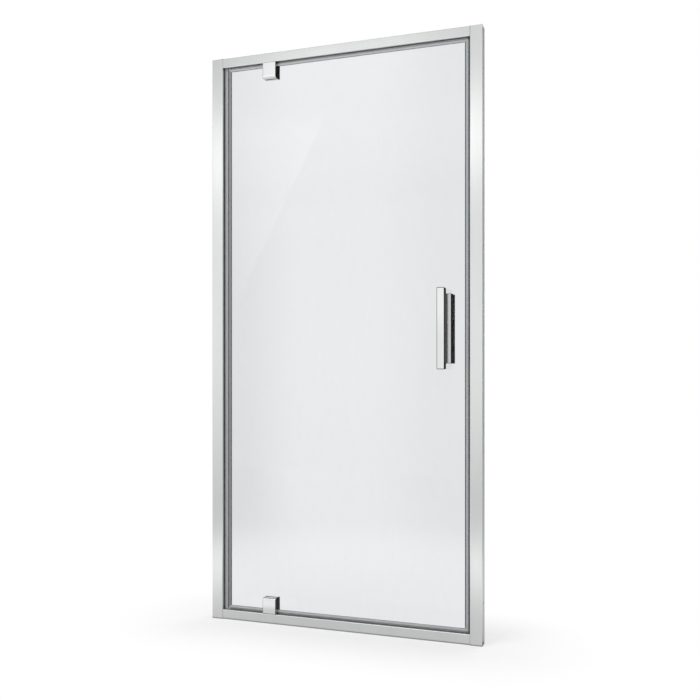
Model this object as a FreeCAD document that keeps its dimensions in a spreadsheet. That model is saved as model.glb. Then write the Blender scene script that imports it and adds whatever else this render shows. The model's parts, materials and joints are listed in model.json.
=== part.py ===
import FreeCAD, Part
import os
import Sketcher

# A framed pivot shower door for an alcove, in millimetres, shown closed.
#
# The frame is two hollow posts with a head rail and a sill rail between them, on a channel
# screwed to each wall. One leaf of 6 mm glass hangs in it on two pivots, which stand in from
# the leaf's short edge, so the handle side swings out of the shower and the short side in.
#
# X runs from the pivot side to the handle side, Y from outside into the shower, Z up.
# The origin is the middle of the sill's underside, halfway through the frame's depth.

V = FreeCAD.Vector
X_AXIS = V(1, 0, 0)
Y_AXIS = V(0, 1, 0)
Z_AXIS = V(0, 0, 1)

doc = FreeCAD.newDocument("PivotShowerDoor")

# ------------------------------------------------------------------------------ sizes
# Name, value, what it is. Every size that can be chosen by itself stands here once.
CHOSEN = [
    ("frame_width", 900, "wall to wall"),
    ("frame_height", 1850, "underside of the sill to the top of the posts"),
    ("frame_depth", 38, "posts and rails, outside to inside"),
    ("jamb_face", 38, "width of a post seen from the front"),
    ("head_tall", 30, "height of the head rail"),
    ("sill_tall", 32, "height of the sill rail"),
    ("metal", 1.6, "wall of the posts, rails and channels"),
    ("rail_step", 2, "rails' faces, behind the posts' faces"),
    ("rail_seat", 2, "wall of a rail on the side of the leaf"),
    ("edge_round", 2.5, "rounding of the posts' edges at the leaf"),
    ("outer_round", 1.4, "rounding of the frame's other long edges"),
    ("web_at", 20, "outer edge of a post to its web"),
    ("cap_thick", 2, "plate of a post's cap"),
    ("cap_plug", 9, "plug of a post's cap"),
    ("plug_gap", 0.2, "plug to the post's chamber"),
    ("slot_mouth", 6, "groove for the strips, at the face"),
    ("slot_lip", 1.4, "lips of that groove"),
    ("slot_width", 9, "groove for the strips, behind its lips"),
    ("slot_depth", 3.4, "groove for the strips, from the face"),
    ("foot_gap", 0.1, "strip's foot to the sides of its groove"),
    ("channel_gap", 0.4, "wall channel to the post that slides on it"),
    ("channel_leg", 17, "legs of the wall channel"),
    ("channel_return", 3.5, "inturned lips of the wall channel"),
    ("wall_hole", 6, "wall channel's screw holes, diameter"),
    ("wall_outer_pitch", 1600, "distance between the outer two wall holes"),
    ("wall_inner_pitch", 540, "distance between the inner two wall holes"),
    ("port_side", 12, "screw port in a rail, from its middle"),
    ("port_wall", 1.6, "wall round a screw port"),
    ("port_margin", 1, "web of a post left beyond the corner screws' access holes"),
    ("corner_screw", 4, "corner screws, diameter"),
    ("corner_grip", 22, "corner screws, length in the rail"),
    ("corner_head", 6.4, "corner screws, diameter of the head"),
    ("corner_head_tall", 2.6, "corner screws, height of the head"),
    ("access_play", 0.4, "corner screws' heads to their access holes, on the radius"),
    ("lock_screw", 3.5, "lock screws, diameter"),
    ("lock_head", 7, "lock screws, diameter of the head"),
    ("lock_head_tall", 2.2, "lock screws, height of the head"),
    ("lock_from_wall", 10, "lock screws, from the wall"),
    ("lock_end_gap", 195, "lock screws, from the frame's ends"),
    ("lock_cap", 11, "cover cap, diameter"),
    ("lock_cap_wall", 1, "cover cap, wall"),
    ("lock_tip", 2, "lock screws, length past the channel's leg"),
    ("hole_gap", 0.05, "screw to its hole, on the radius"),
    ("press_gap", 0.01, "pressed pin to its hole, on the radius"),
    ("glass_thick", 6, "glass"),
    ("glass_edge", 0.6, "ground edge of the glass"),
    ("seal_arm", 1.3, "arms of the seals on the glass"),
    ("seal_back", 1.6, "back of the seals, over the glass's edge"),
    ("seal_cover", 7.4, "how far the short edge's seal reaches over the glass"),
    ("level_cover", 6, "how far the top and bottom seals reach over the glass"),
    ("strike_cover", 6.2, "how far the magnetic seal reaches over the glass"),
    ("fin_thick", 0.9, "soft fins of the seals"),
    ("soft_gap", 0.3, "soft fins to what they wipe"),
    ("head_gap", 3, "top seal's back to the head rail"),
    ("sill_gap", 4, "bottom seal's back to the sill"),
    ("drip_reach", 5, "drip lip of the bottom seal, beyond its arm"),
    ("drip_drop", 2.6, "drip lip of the bottom seal, below its back"),
    ("gasket_deep", 11.7, "gasket on the left post, out of the post"),
    ("gasket_wide", 8, "gasket on the left post, width"),
    ("gasket_wall", 1.1, "gasket on the left post, wall"),
    ("gasket_nose", 1.8, "gasket on the left post, slanted corners"),
    ("pivot_edge_gap", 3.3, "gasket to the leaf's short edge"),
    ("strip_base", 1.8, "strips, plate on the post"),
    ("strip_flange", 12, "strips, width of that plate"),
    ("magnet_thick", 3.2, "magnets, across the gap"),
    ("magnet_wide", 6, "magnets, through the leaf"),
    ("magnet_wall", 0.8, "plastic round the magnets"),
    ("magnet_play", 0.05, "magnet to its pocket"),
    ("strike_stop", 12, "stop lip behind the leaf, out of the post"),
    ("strike_stop_thick", 1.5, "stop lip, thickness"),
    ("strike_stop_gap", 0.35, "stop lip to the leaf's seal"),
    ("magnet_end", 12, "leaf's magnet, short of its seal at each end"),
    ("pivot_in", 168, "pivot axis from the left post"),
    ("block_wide", 46, "pivot blocks, width"),
    ("block_tall", 50, "pivot blocks, height"),
    ("block_round", 7, "pivot blocks, rounded front edge at the free end"),
    ("block_edge", 1.3, "pivot blocks, small rounding"),
    ("block_gap", 1.2, "pivot block to its rail"),
    ("pad_thick", 1, "gaskets between metal and glass"),
    ("pad_inset", 0.5, "gaskets, in from the metal's edge"),
    ("cut_wide", 32, "pivot cut-out in the glass, width"),
    ("cut_deep", 30, "pivot cut-out in the glass, depth"),
    ("cut_round", 6, "pivot cut-out in the glass, corner radius"),
    ("core_wide", 16, "pivot core, width"),
    ("core_deep", 20, "pivot core, through the leaf"),
    ("core_tall", 28, "pivot core, height"),
    ("core_gap", 0.05, "pivot core to its pockets"),
    ("pin_wide", 10, "pivot pin, diameter"),
    ("pin_in_core", 22, "pivot pin, length in the core"),
    ("pin_in_bush", 13, "pivot pin, length in the bush"),
    ("pin_nose", 1, "pivot pin, chamfer"),
    ("pin_play", 0.03, "pivot pin in its bush, on the radius"),
    ("bush_wide", 16, "bush, diameter"),
    ("bush_long", 15, "bush, length under its flange"),
    ("bush_flange", 20, "bush, diameter of the flange"),
    ("washer_slack", 0.05, "thrust washer, less than the gap it fills"),
    ("house_long", 46, "bearing housing, along the rail"),
    ("house_tall", 16, "bearing housing, height"),
    ("house_side_gap", 0.3, "bearing housing to the rail's walls"),
    ("house_screw", 4, "housing screws, diameter"),
    ("house_screw_at", 16, "housing screws, from the axis"),
    ("house_screw_long", 11, "housing screws, length"),
    ("house_screw_head", 7.4, "housing screws, diameter of the head"),
    ("clamp_screw", 5, "clamp screws, diameter"),
    ("clamp_screw_at", 12, "clamp screws, from the axis"),
    ("clamp_screw_up", 21, "clamp screws, from the rail's end of the block"),
    ("clamp_screw_head", 9.2, "clamp screws, diameter of the head"),
    ("clamp_screw_bite", 10, "clamp screws, length in the outer block"),
    ("handle_at", 946.5, "handle's middle, above the sill's underside"),
    ("handle_from_jamb", 54, "handle block to the right post"),
    ("handle_block_wide", 28, "handle blocks, width"),
    ("handle_block_deep", 25, "handle blocks, out from the glass"),
    ("handle_block_tall", 210, "handle blocks, height"),
    ("handle_block_edge", 1.2, "handle blocks, rounding"),
    ("grip_wide", 24, "grip bar, width"),
    ("grip_deep", 25, "grip bar, depth"),
    ("grip_tall", 245, "grip bar, height"),
    ("grip_lap", 13, "grip bar, width that lies on its block"),
    ("grip_edge", 1.3, "grip bar, rounding"),
    ("handle_screw", 6, "handle screws, diameter"),
    ("handle_screw_head", 10.4, "handle screws, diameter of the head"),
    ("handle_screw_pitch", 150, "handle screws, distance apart"),
    ("handle_screw_bite", 14, "handle screws, length in the outer block"),
    ("handle_hole", 12, "holes in the glass, diameter"),
    ("sleeve_gap", 0.1, "sleeve to the hole and to the screw"),
    ("grip_screw", 4, "grip screws, diameter"),
    ("grip_screw_head", 7, "grip screws, diameter of the head"),
    ("grip_screw_head_tall", 2.6, "grip screws, height of the head"),
    ("grip_screw_pitch", 96, "grip screws, distance apart"),
    ("grip_screw_sink", 18, "grip screws, head's depth in the block"),
    ("grip_screw_bite", 9, "grip screws, length in the grip bar"),
]

sheet = doc.addObject("Spreadsheet::Sheet", "Sizes")
row = 0


def write_cell(name, text, note):
    """One line of the sheet: the name, its value or formula, and what it is."""
    global row
    row += 1
    sheet.set(f"A{row}", name)
    sheet.set(f"B{row}", text)
    sheet.set(f"C{row}", note)
    sheet.setAlias(f"B{row}", name)


class Size:
    """A length with the formula that gives it from the sheet, so sums of sizes stay bound."""

    def __init__(self, value, formula):
        self.value = float(value)
        self.formula = formula

    def joined(self, sign, other, value, swap=False):
        text = other.formula if isinstance(other, Size) else f"{other:g}"
        first, last = (text, self.formula) if swap else (self.formula, text)
        return Size(value, f"({first} {sign} {last})")

    def __add__(self, other):
        return self.joined("+", other, self.value + number(other))

    def __radd__(self, other):
        return self.joined("+", other, number(other) + self.value, swap=True)

    def __sub__(self, other):
        return self.joined("-", other, self.value - number(other))

    def __rsub__(self, other):
        return self.joined("-", other, number(other) - self.value, swap=True)

    def __mul__(self, other):
        return self.joined("*", other, self.value * number(other))

    def __truediv__(self, other):
        return self.joined("/", other, self.value / number(other))

    def __neg__(self):
        return Size(-self.value, f"(0 - {self.formula})")


def number(size):
    """The plain value of a size or a number."""
    return size.value if isinstance(size, Size) else float(size)


class Sizes:
    """The chosen and the worked-out sizes, by name."""


s = Sizes()
for name, value, note in CHOSEN:
    write_cell(name, f"{value:g}", note)
    setattr(s, name, Size(value, f"Sizes.{name}"))


def work_out(name, size, note):
    """A worked-out size gets its own cell, with its formula."""
    write_cell(name, "=" + size.formula.replace("Sizes.", ""), note)
    setattr(s, name, Size(size.value, f"Sizes.{name}"))


# The opening between the posts and rails.
work_out("depth_half", s.frame_depth / 2, "frame's face from the middle of its depth")
work_out("wall_at", s.frame_width / 2, "wall face from the middle")
work_out("jamb_at", s.wall_at - s.jamb_face, "post's face at the leaf, from the middle")
work_out("head_at", s.frame_height - s.head_tall, "underside of the head rail")
work_out("opening_tall", s.head_at - s.sill_tall, "sill's top to the head rail")
work_out("jamb_tall", s.frame_height - s.cap_thick, "height of a post under its cap")
work_out("chamber_half", s.depth_half - s.metal, "inside of the posts' walls")
work_out("rail_half", s.depth_half - s.rail_step, "rails' faces from the middle of their depth")
work_out("rail_chamber", s.rail_half - s.metal, "inside of the rails' walls")
work_out("port_round", s.corner_screw / 2 + s.hole_gap, "screw port's bore, radius")
work_out("access_round", s.corner_head / 2 + s.access_play, "access hole in a post's web, radius")
work_out("port_in", s.cap_thick + s.access_round + s.port_margin, "screw ports from the frame's ends")
# The leaf.
work_out("glass_half", s.glass_thick / 2, "glass face from its middle")
work_out("seal_half", s.glass_half + s.seal_arm, "outside of a seal's arm")
work_out("short_edge", -s.jamb_at + s.gasket_deep + s.pivot_edge_gap, "outside of the short edge's seal")
work_out("glass_left", s.short_edge + s.seal_back, "left edge of the glass")
work_out("strip_deep", s.strip_base + s.magnet_thick + s.magnet_wall + s.magnet_play * 2,
         "strike strip, out of the post")
work_out("long_edge", s.jamb_at - s.strip_deep - s.soft_gap, "outside of the closing edge's seal")
work_out("tube_deep", s.magnet_thick + s.magnet_wall * 2 + s.magnet_play * 2,
         "magnet tube of the closing edge's seal")
work_out("glass_right", s.long_edge - s.tube_deep, "right edge of the glass")
work_out("leaf_top", s.head_at - s.head_gap, "back of the top seal")
work_out("leaf_bottom", s.sill_tall + s.sill_gap, "back of the bottom seal")
work_out("glass_top", s.leaf_top - s.seal_back, "top edge of the glass")
work_out("glass_bottom", s.leaf_bottom + s.seal_back, "bottom edge of the glass")
work_out("glass_tall", s.glass_top - s.glass_bottom, "height of the glass")
# The pivots.
work_out("axis_x", s.pivot_in - s.jamb_at, "pivot axis from the middle")
work_out("top_block_end", s.head_at - s.block_gap, "top block's end at the head rail")
work_out("low_block_end", s.sill_tall + s.block_gap, "bottom block's end at the sill")
work_out("metal_at", s.glass_half + s.pad_thick, "face of the blocks at the glass")
work_out("block_deep", s.depth_half - s.metal_at, "depth of one pivot block")
work_out("block_half", s.block_wide / 2, "half the pivot block's width")
# The handle.
work_out("handle_right", s.jamb_at - s.handle_from_jamb, "right side of the handle blocks")
work_out("handle_left", s.handle_right - s.handle_block_wide, "left side of the handle blocks")
work_out("handle_mid", s.handle_left + s.handle_block_wide / 2, "middle of the handle blocks")
work_out("handle_low", s.handle_at - s.handle_block_tall / 2, "lower end of the handle blocks")
work_out("grip_back", s.metal_at + s.handle_block_deep, "back of the grip bar")
work_out("grip_left", s.handle_left + s.grip_lap - s.grip_wide, "left side of the grip bar")
work_out("grip_mid", s.handle_left + s.grip_lap / 2, "middle of the grip bar's seat")
doc.recompute()

# ------------------------------------------------------------------------------ tools


def bind(thing, name, size):
    """Ties a property to the sheet, if it is given by a size."""
    if isinstance(size, Size):
        thing.setExpression(name, size.formula)


def place(thing, at=(0, 0, 0), axis=Z_AXIS, angle=0):
    """Puts a piece at a point given by sizes, turned about an axis by an angle in degrees."""
    point = V(*[number(size) for size in at])
    thing.Placement = FreeCAD.Placement(point, FreeCAD.Rotation(axis, angle))
    for letter, size in zip("xyz", at):
        bind(thing, f"Placement.Base.{letter}", size)
    return thing


def new_body(label):
    body = doc.addObject("PartDesign::Body", label)
    body.Label = label
    return body


def draw(body, role, outlines=(), circles=(), name="Section"):
    """A sketch on one of the body's own planes. Every corner and centre is tied to its sizes."""
    sketch = body.newObject("Sketcher::SketchObject", f"{body.Name}_{name}")
    base = next(item for item in body.Origin.OriginFeatures if item.Role == role)
    sketch.AttachmentSupport = (base, [""])
    sketch.MapMode = "FlatFace"
    lines, ties, tied = [], [], []

    def tie(kind, places, size):
        ties.append(Sketcher.Constraint(kind, *places, number(size)))
        tied.append((len(ties) - 1, size))

    for outline in outlines:
        first = len(lines)
        corners = [V(number(across), number(up), 0) for across, up in outline]
        for index, (across, up) in enumerate(outline):
            following = (index + 1) % len(outline)
            lines.append(Part.LineSegment(corners[index], corners[following]))
            ties.append(Sketcher.Constraint("Coincident", first + index, 2, first + following, 1))
            tie("DistanceX", (-1, 1, first + index, 1), across)
            tie("DistanceY", (-1, 1, first + index, 1), up)
    for across, up, radius in circles:
        lines.append(Part.Circle(V(number(across), number(up), 0), Z_AXIS, number(radius)))
        tie("DistanceX", (-1, 1, len(lines) - 1, 3), across)
        tie("DistanceY", (-1, 1, len(lines) - 1, 3), up)
        tie("Radius", (len(lines) - 1,), radius)
    sketch.addGeometry(lines, False)
    sketch.addConstraint(ties)
    for index, size in tied:
        bind(sketch, f"Constraints[{index}]", size)
    return sketch


def pad(body, sketch, length, both=False, back=False):
    """Material along the sketch's normal: away from it, on both sides of it, or behind it."""
    feature = body.newObject("PartDesign::Pad", f"{body.Name}_Pad")
    feature.Profile = sketch
    feature.Length = number(length)
    feature.Midplane = both
    feature.Reversed = back
    bind(feature, "Length", length)
    doc.recompute()
    return feature


def pocket(body, sketch, depth=None, back=True):
    """A pocket of a given depth, or through everything. It must take something away."""
    before = body.Shape.Volume
    feature = body.newObject("PartDesign::Pocket", f"{body.Name}_Pocket")
    feature.Profile = sketch
    if depth is None:
        feature.Type = "ThroughAll"
    else:
        feature.Length = number(depth)
        bind(feature, "Length", depth)
    feature.Reversed = back
    doc.recompute()
    if not body.Shape.Volume < before - 1e-6:
        raise RuntimeError(f"{feature.Name} cuts nothing")
    return feature


def soften(body, kind, feature, radius, wanted):
    """A Fillet or a Chamfer on the feature's edges for which wanted(middle, direction) holds."""
    names = []
    for index, edge in enumerate(feature.Shape.Edges, 1):
        first = edge.valueAt(edge.FirstParameter)
        last = edge.valueAt(edge.LastParameter)
        straight = edge.Curve.TypeId == "Part::GeomLine"
        along = (last - first).normalize() if straight else V()
        if wanted((first + last) / 2, along):
            names.append(f"Edge{index}")
    rounding = body.newObject(f"PartDesign::{kind}", f"{body.Name}_{kind}")
    rounding.Base = (feature, names)
    name = "Radius" if kind == "Fillet" else "Size"
    setattr(rounding, name, number(radius))
    bind(rounding, name, radius)
    doc.recompute()
    return rounding


def near(first, last):
    return abs(number(first) - number(last)) < 1e-4


def box(left, right, low, high):
    """A rectangle's corners, for draw."""
    return [(left, low), (right, low), (right, high), (left, high)]


def turned(label, outline):
    """A round piece about Z, from the outline of one side as (radius, height)."""
    body = new_body(label)
    sketch = draw(body, "XZ_Plane", [outline])
    feature = body.newObject("PartDesign::Revolution", f"{label}_Turn")
    feature.Profile = sketch
    feature.ReferenceAxis = (sketch, ["V_Axis"])
    feature.Angle = 360
    doc.recompute()
    return body


def screw_outline(half, length, wide, head_tall, sunk, tip):
    """One side of a screw whose head's top is at 0: flat head sunk flush, or a pan head."""
    if sunk:
        shank = [(wide, 0), (half, half - wide)]
    else:
        shank = [(wide, 0), (wide, -head_tall), (half, -head_tall)]
    return [(0, 0)] + shank + [(half, tip - length), (half - tip, -length), (0, -length)]


def screw(label, diameter, length, head, head_tall=0, sunk=False):
    """A screw along Z with a hexagon socket in its head. It is the master of its group."""
    half = diameter / 2
    body = turned(label, screw_outline(half, length, head / 2, head_tall, sunk, half * 0.4))
    corner = half * 0.7
    rise = corner * 0.8660254
    socket = [(corner, 0), (corner / 2, rise), (-corner / 2, rise), (-corner, 0), (-corner / 2, -rise),
              (corner / 2, -rise)]
    pocket(body, draw(body, "XY_Plane", [socket], name="Socket"), half * 0.8, back=False)
    return body


def screw_hole(label, diameter, length, head):
    """What a flat-head screw takes out of the pieces that it holds: itself and its clearance."""
    half, wide = diameter / 2 + s.hole_gap, head / 2 + s.hole_gap
    above = s.hole_gap
    outline = [(0, above), (wide, above), (wide, 0), (half, half - wide), (half, -length - above),
               (0, -length - above)]
    return turned(label, outline)


def group(label, master, places):
    """Identical separate pieces, each with its own place, under one name."""
    copies = []
    for index, (at, axis, angle) in enumerate(places, 1):
        link = doc.addObject("App::Link", f"{label}_{index}")
        link.LinkedObject = master
        link.LinkTransform = False
        copies.append(place(link, at, axis, angle))
    whole = doc.addObject("Part::Compound", label)
    whole.Label = label
    whole.Links = copies
    doc.recompute()
    return whole


def cut(label, base, tools):
    """The base less its tools. It must take something away from it."""
    whole = doc.addObject("Part::Cut", label)
    whole.Label = label
    whole.Base = base
    whole.Tool = tools
    doc.recompute()
    if not whole.Shape.Volume < base.Shape.Volume - 1e-6:
        raise RuntimeError(f"{label} cuts nothing")
    return whole


pieces = []


def keep(piece):
    pieces.append(piece)
    return piece


# The two sides of the frame: the wall that a piece is measured from, and its half turn.
SIDES = (("left", -s.wall_at, 0), ("right", s.wall_at, 180))

# --------------------------------------------------------------------- posts, channels
# A post is drawn from the wall (0) to the leaf (+X). The right post is the same extrusion
# turned half round. Its open pocket slides on the wall channel, its chamber holds the heads
# of the corner screws, and its groove holds the strip that meets the leaf.
web_end = s.web_at + s.metal
inner_wall = s.jamb_face - s.metal
groove_back = s.jamb_face - s.slot_depth - s.metal
port_heights = (s.port_in, s.frame_height - s.port_in)
port_spots = [(side, up) for side in (-s.port_side, s.port_side) for up in port_heights]
lock_heights = (s.lock_end_gap, s.frame_height / 2, s.frame_height - s.lock_end_gap)
lock_holes = [(s.lock_from_wall, up, s.lock_screw / 2 + s.hole_gap) for up in lock_heights]


def make_jamb(label):
    body = new_body(label)
    face, floor = s.jamb_face, s.jamb_face - s.slot_depth
    mouth, wide, beside = s.slot_mouth / 2, s.slot_width / 2, s.slot_width / 2 + s.metal
    out, inside = s.depth_half, s.chamber_half
    groove = [(face, -mouth), (face - s.slot_lip, -mouth), (face - s.slot_lip, -wide), (floor, -wide),
              (floor, wide), (face - s.slot_lip, wide), (face - s.slot_lip, mouth), (face, mouth)]
    around = [(0, -out), (face, -out)] + groove + [
        (face, out), (0, out), (0, inside), (s.web_at, inside), (s.web_at, -inside), (0, -inside)]
    chamber = [(web_end, -inside), (inner_wall, -inside), (inner_wall, -beside), (groove_back, -beside),
               (groove_back, beside), (inner_wall, beside), (inner_wall, inside), (web_end, inside)]
    shell = pad(body, draw(body, "XY_Plane", [around, chamber]), s.jamb_tall)
    for radius, edge_x in ((s.edge_round, face), (s.outer_round, 0)):
        shell = soften(body, "Fillet", shell, radius, lambda at, along: (
            abs(along.z) > 0.99 and near(at.x, edge_x) and near(abs(at.y), out)))
    # The corner screws pass the wall at the leaf. Wider holes in the web let them in.
    passage = [(side, up, s.port_round) for side, up in port_spots]
    access = [(side, up, s.access_round) for side, up in port_spots]
    pocket(body, draw(body, "YZ_Plane", circles=passage, name="Passage"))
    pocket(body, draw(body, "YZ_Plane", circles=access, name="Access"), web_end + s.metal)
    # The lock screws pass the wall on the shower's side.
    pocket(body, draw(body, "XZ_Plane", circles=lock_holes, name="Lock"), back=turned_round[label])
    return body


def make_channel(label):
    """The channel on the wall: a C with its back to the wall, and holes for wall screws."""
    body = new_body(label)
    side = s.chamber_half - s.channel_gap
    inside, end, lip = side - s.metal, s.channel_leg, side - s.metal - s.channel_return
    outline = [(0, -side), (end, -side), (end, -lip), (end - s.metal, -lip), (end - s.metal, -inside),
               (s.metal, -inside), (s.metal, inside), (end - s.metal, inside), (end - s.metal, lip),
               (end, lip), (end, side), (0, side)]
    pad(body, draw(body, "XY_Plane", [outline]), s.jamb_tall)
    holes = [(0, s.frame_height / 2 + pitch * half, s.wall_hole / 2)
             for pitch in (s.wall_outer_pitch, s.wall_inner_pitch) for half in (-0.5, 0.5)]
    pocket(body, draw(body, "YZ_Plane", circles=holes, name="WallHoles"), s.metal * 2)
    pocket(body, draw(body, "XZ_Plane", circles=lock_holes, name="Lock"), back=turned_round[label])
    return body


def make_cap(label):
    """The cap on a post: a plate with the post's outline, and a plug in its chamber."""
    body = new_body(label)
    out = s.depth_half
    plate = pad(body, draw(body, "XY_Plane", [box(0, s.jamb_face, -out, out)]), s.cap_thick)
    for radius, edge_x in ((s.edge_round, s.jamb_face), (s.outer_round, 0)):
        plate = soften(body, "Fillet", plate, radius, lambda at, along: (
            abs(along.z) > 0.99 and near(at.x, edge_x) and near(abs(at.y), out)))
    left, right, side = web_end + s.plug_gap, groove_back - s.plug_gap, s.chamber_half - s.plug_gap
    plug = draw(body, "XY_Plane", [box(left, right, -side, side),
                                   box(left + s.metal, right - s.metal, s.metal - side, side - s.metal)],
                name="Plug")
    pad(body, plug, s.cap_plug, back=True)
    return body


# The lock screws are on the shower's side of both posts, so the turned one is drilled in front.
turned_round = {f"{name}_{side}": side == "right" for name in ("jamb", "wall_channel")
                for side, wall, turn in SIDES}
for side, wall, turn in SIDES:
    keep(place(make_channel(f"wall_channel_{side}"), (wall, 0, 0), Z_AXIS, turn))
    keep(place(make_jamb(f"jamb_{side}"), (wall, 0, 0), Z_AXIS, turn))
    keep(place(make_cap(f"jamb_cap_{side}"), (wall, 0, s.jamb_tall), Z_AXIS, turn))

lock_reach = s.lock_head_tall + s.metal * 2 + s.channel_gap + s.lock_tip
lock_master = screw("lock_screw_master", s.lock_screw, lock_reach, s.lock_head, s.lock_head_tall)
lock_spots = [(across, up) for across in (s.lock_from_wall - s.wall_at, s.wall_at - s.lock_from_wall)
              for up in lock_heights]
keep(group("lock_screws", lock_master, [
    ((across, s.depth_half + s.lock_head_tall, up), X_AXIS, -90) for across, up in lock_spots]))
cap_round, cap_inside = s.lock_cap / 2, s.lock_cap / 2 - s.lock_cap_wall
cap_tall = s.lock_head_tall + s.lock_cap_wall * 1.5
cap_master = turned("lock_cap_master", [
    (cap_inside, 0), (cap_round, 0), (cap_round, cap_tall - s.lock_cap_wall),
    (cap_round - s.lock_cap_wall, cap_tall), (0, cap_tall), (0, cap_tall - s.lock_cap_wall),
    (cap_inside, cap_tall - s.lock_cap_wall)])
keep(group("lock_screw_caps", cap_master, [
    ((across, s.depth_half, up), X_AXIS, -90) for across, up in lock_spots]))

# --------------------------------------------------------------- rails and their bearings
# A rail runs from post to post. Its thicker wall is the one at the leaf, and two screw ports
# near its other wall take the corner screws.


def make_rail(label, tall, leaf_above):
    body = new_body(label)
    out, inside, length = s.rail_half, s.rail_chamber, s.jamb_at * 2
    low = s.metal if leaf_above else s.rail_seat
    high = tall - s.rail_seat if leaf_above else tall - s.metal
    port = s.port_in if leaf_above else tall - s.port_in
    leaf_side, far_side = (tall, 0) if leaf_above else (0, tall)
    rail = pad(body, draw(body, "YZ_Plane", [box(-out, out, 0, tall), box(-inside, inside, low, high)]),
               length)
    for radius, edge_z in ((s.edge_round, leaf_side), (s.outer_round, far_side)):
        rail = soften(body, "Fillet", rail, radius, lambda at, along: (
            abs(along.x) > 0.99 and near(at.z, edge_z) and near(abs(at.y), out)))
    sides = (-s.port_side, s.port_side)
    rib, root = s.port_wall, low / 2 if leaf_above else tall - (tall - high) / 2
    ribs = [box(side - rib, side + rib, *((root, port) if leaf_above else (port, root))) for side in sides]
    tubes = [(side, port, s.port_round + s.port_wall) for side in sides]
    bores = [(side, port, s.port_round) for side in sides]
    pad(body, draw(body, "YZ_Plane", ribs, name="Ribs"), length)
    pad(body, draw(body, "YZ_Plane", circles=tubes, name="Ports"), length)
    pocket(body, draw(body, "YZ_Plane", circles=bores, name="Bores"), length)
    return body


def bearing(name, rail, up, turn):
    """The bearing in a rail: its housing, the bush that the pivot turns in, and two screws.
    up is the rail's face at the leaf. All is drawn for the sill, and turned over for the head."""
    at, level = s.house_screw_at, s.rail_seat
    half_deep = s.rail_chamber - s.house_side_gap
    housing = new_body(f"{name}_housing")
    outline = box(-s.house_long / 2, s.house_long / 2, -half_deep, half_deep)
    pad(housing, draw(housing, "XY_Plane", [outline]), s.house_tall)
    holes = [(0, 0, s.bush_wide / 2 + s.press_gap)]
    holes += [(side, 0, s.house_screw / 2 + s.hole_gap) for side in (-at, at)]
    pocket(housing, draw(housing, "XY_Plane", circles=holes, name="Holes"))
    sign = 1 if turn == 0 else -1
    place(housing, (s.axis_x, 0, up - (level + s.house_tall) * sign), X_AXIS, turn)

    flange, round_, bore = s.bush_flange / 2, s.bush_wide / 2, s.pin_wide / 2 + s.pin_play
    low = -level - s.bush_long
    bush = turned(f"{name}_bush", [
        (bore, 0), (flange, 0), (flange, -level), (round_, -level), (round_, low), (bore, low)])
    place(bush, (s.axis_x, 0, up), X_AXIS, turn)
    master = screw(f"{name}_screw_master", s.house_screw, s.house_screw_long, s.house_screw_head,
                   sunk=True)
    spots = [((s.axis_x + side, 0, up), X_AXIS, turn) for side in (-at, at)]
    screws = group(f"{name}_housing_screws", master, spots)

    gap = s.hole_gap
    flange_hole = turned(f"{name}_bush_hole", [
        (0, gap), (flange + gap, gap), (flange + gap, -level - gap), (0, -level - gap)])
    place(flange_hole, (s.axis_x, 0, up), X_AXIS, turn)
    screw_cut = screw_hole(f"{name}_screw_hole", s.house_screw, s.rail_seat * 2, s.house_screw_head)
    holes = group(f"{name}_holes", screw_cut, spots)
    first = cut(f"{name}_rail_bored", rail, flange_hole)
    return cut(f"{name}_rail", first, holes), housing, bush, screws


for name, up, turn, low, tall in (("sill", s.sill_tall, 0, 0, s.sill_tall),
                                  ("head", s.head_at, 180, s.head_at, s.head_tall)):
    plain = make_rail(f"{name}_rail_plain", tall, leaf_above=turn == 0)
    place(plain, (-s.jamb_at, 0, low))
    for piece in bearing(name, plain, up, turn):
        keep(piece)

corner_reach = s.corner_head_tall + s.metal + s.corner_grip
corner_master = screw("corner_screw_master", s.corner_screw, corner_reach, s.corner_head,
                      s.corner_head_tall)
corner_from = s.wall_at - inner_wall + s.corner_head_tall
keep(group("corner_screws", corner_master, [
    ((across, side, up), Y_AXIS, angle) for across, angle in ((-corner_from, -90), (corner_from, 90))
    for side, up in port_spots]))

# The washer that the leaf's weight rests on, between the bottom bush and the pivot block.
washer_hole = s.pin_wide / 2 + s.pin_play * 2
keep(place(turned("thrust_washer", box(washer_hole, s.bush_flange / 2, 0, s.block_gap - s.washer_slack)),
           (s.axis_x, 0, s.sill_tall)))

# ------------------------------------------------------------------ strips on the posts
# Both are held by a foot in the post's groove and run from the sill to the head rail.


def foot(edge, away):
    """A strip's foot in the groove of the post, whose face is at edge. away is +1 or -1."""
    neck, wide = s.slot_mouth / 2 - s.foot_gap, s.slot_width / 2 - s.foot_gap
    lip, deep = edge + (s.slot_lip + s.foot_gap) * away, edge + (s.slot_depth - s.foot_gap) * away
    return [(edge, -neck), (lip, -neck), (lip, -wide), (deep, -wide),
            (deep, wide), (lip, wide), (lip, neck), (edge, neck)]


def strip(label, outlines):
    body = new_body(label)
    pad(body, draw(body, "XY_Plane", outlines), s.opening_tall)
    return keep(place(body, (0, 0, s.sill_tall)))


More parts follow.
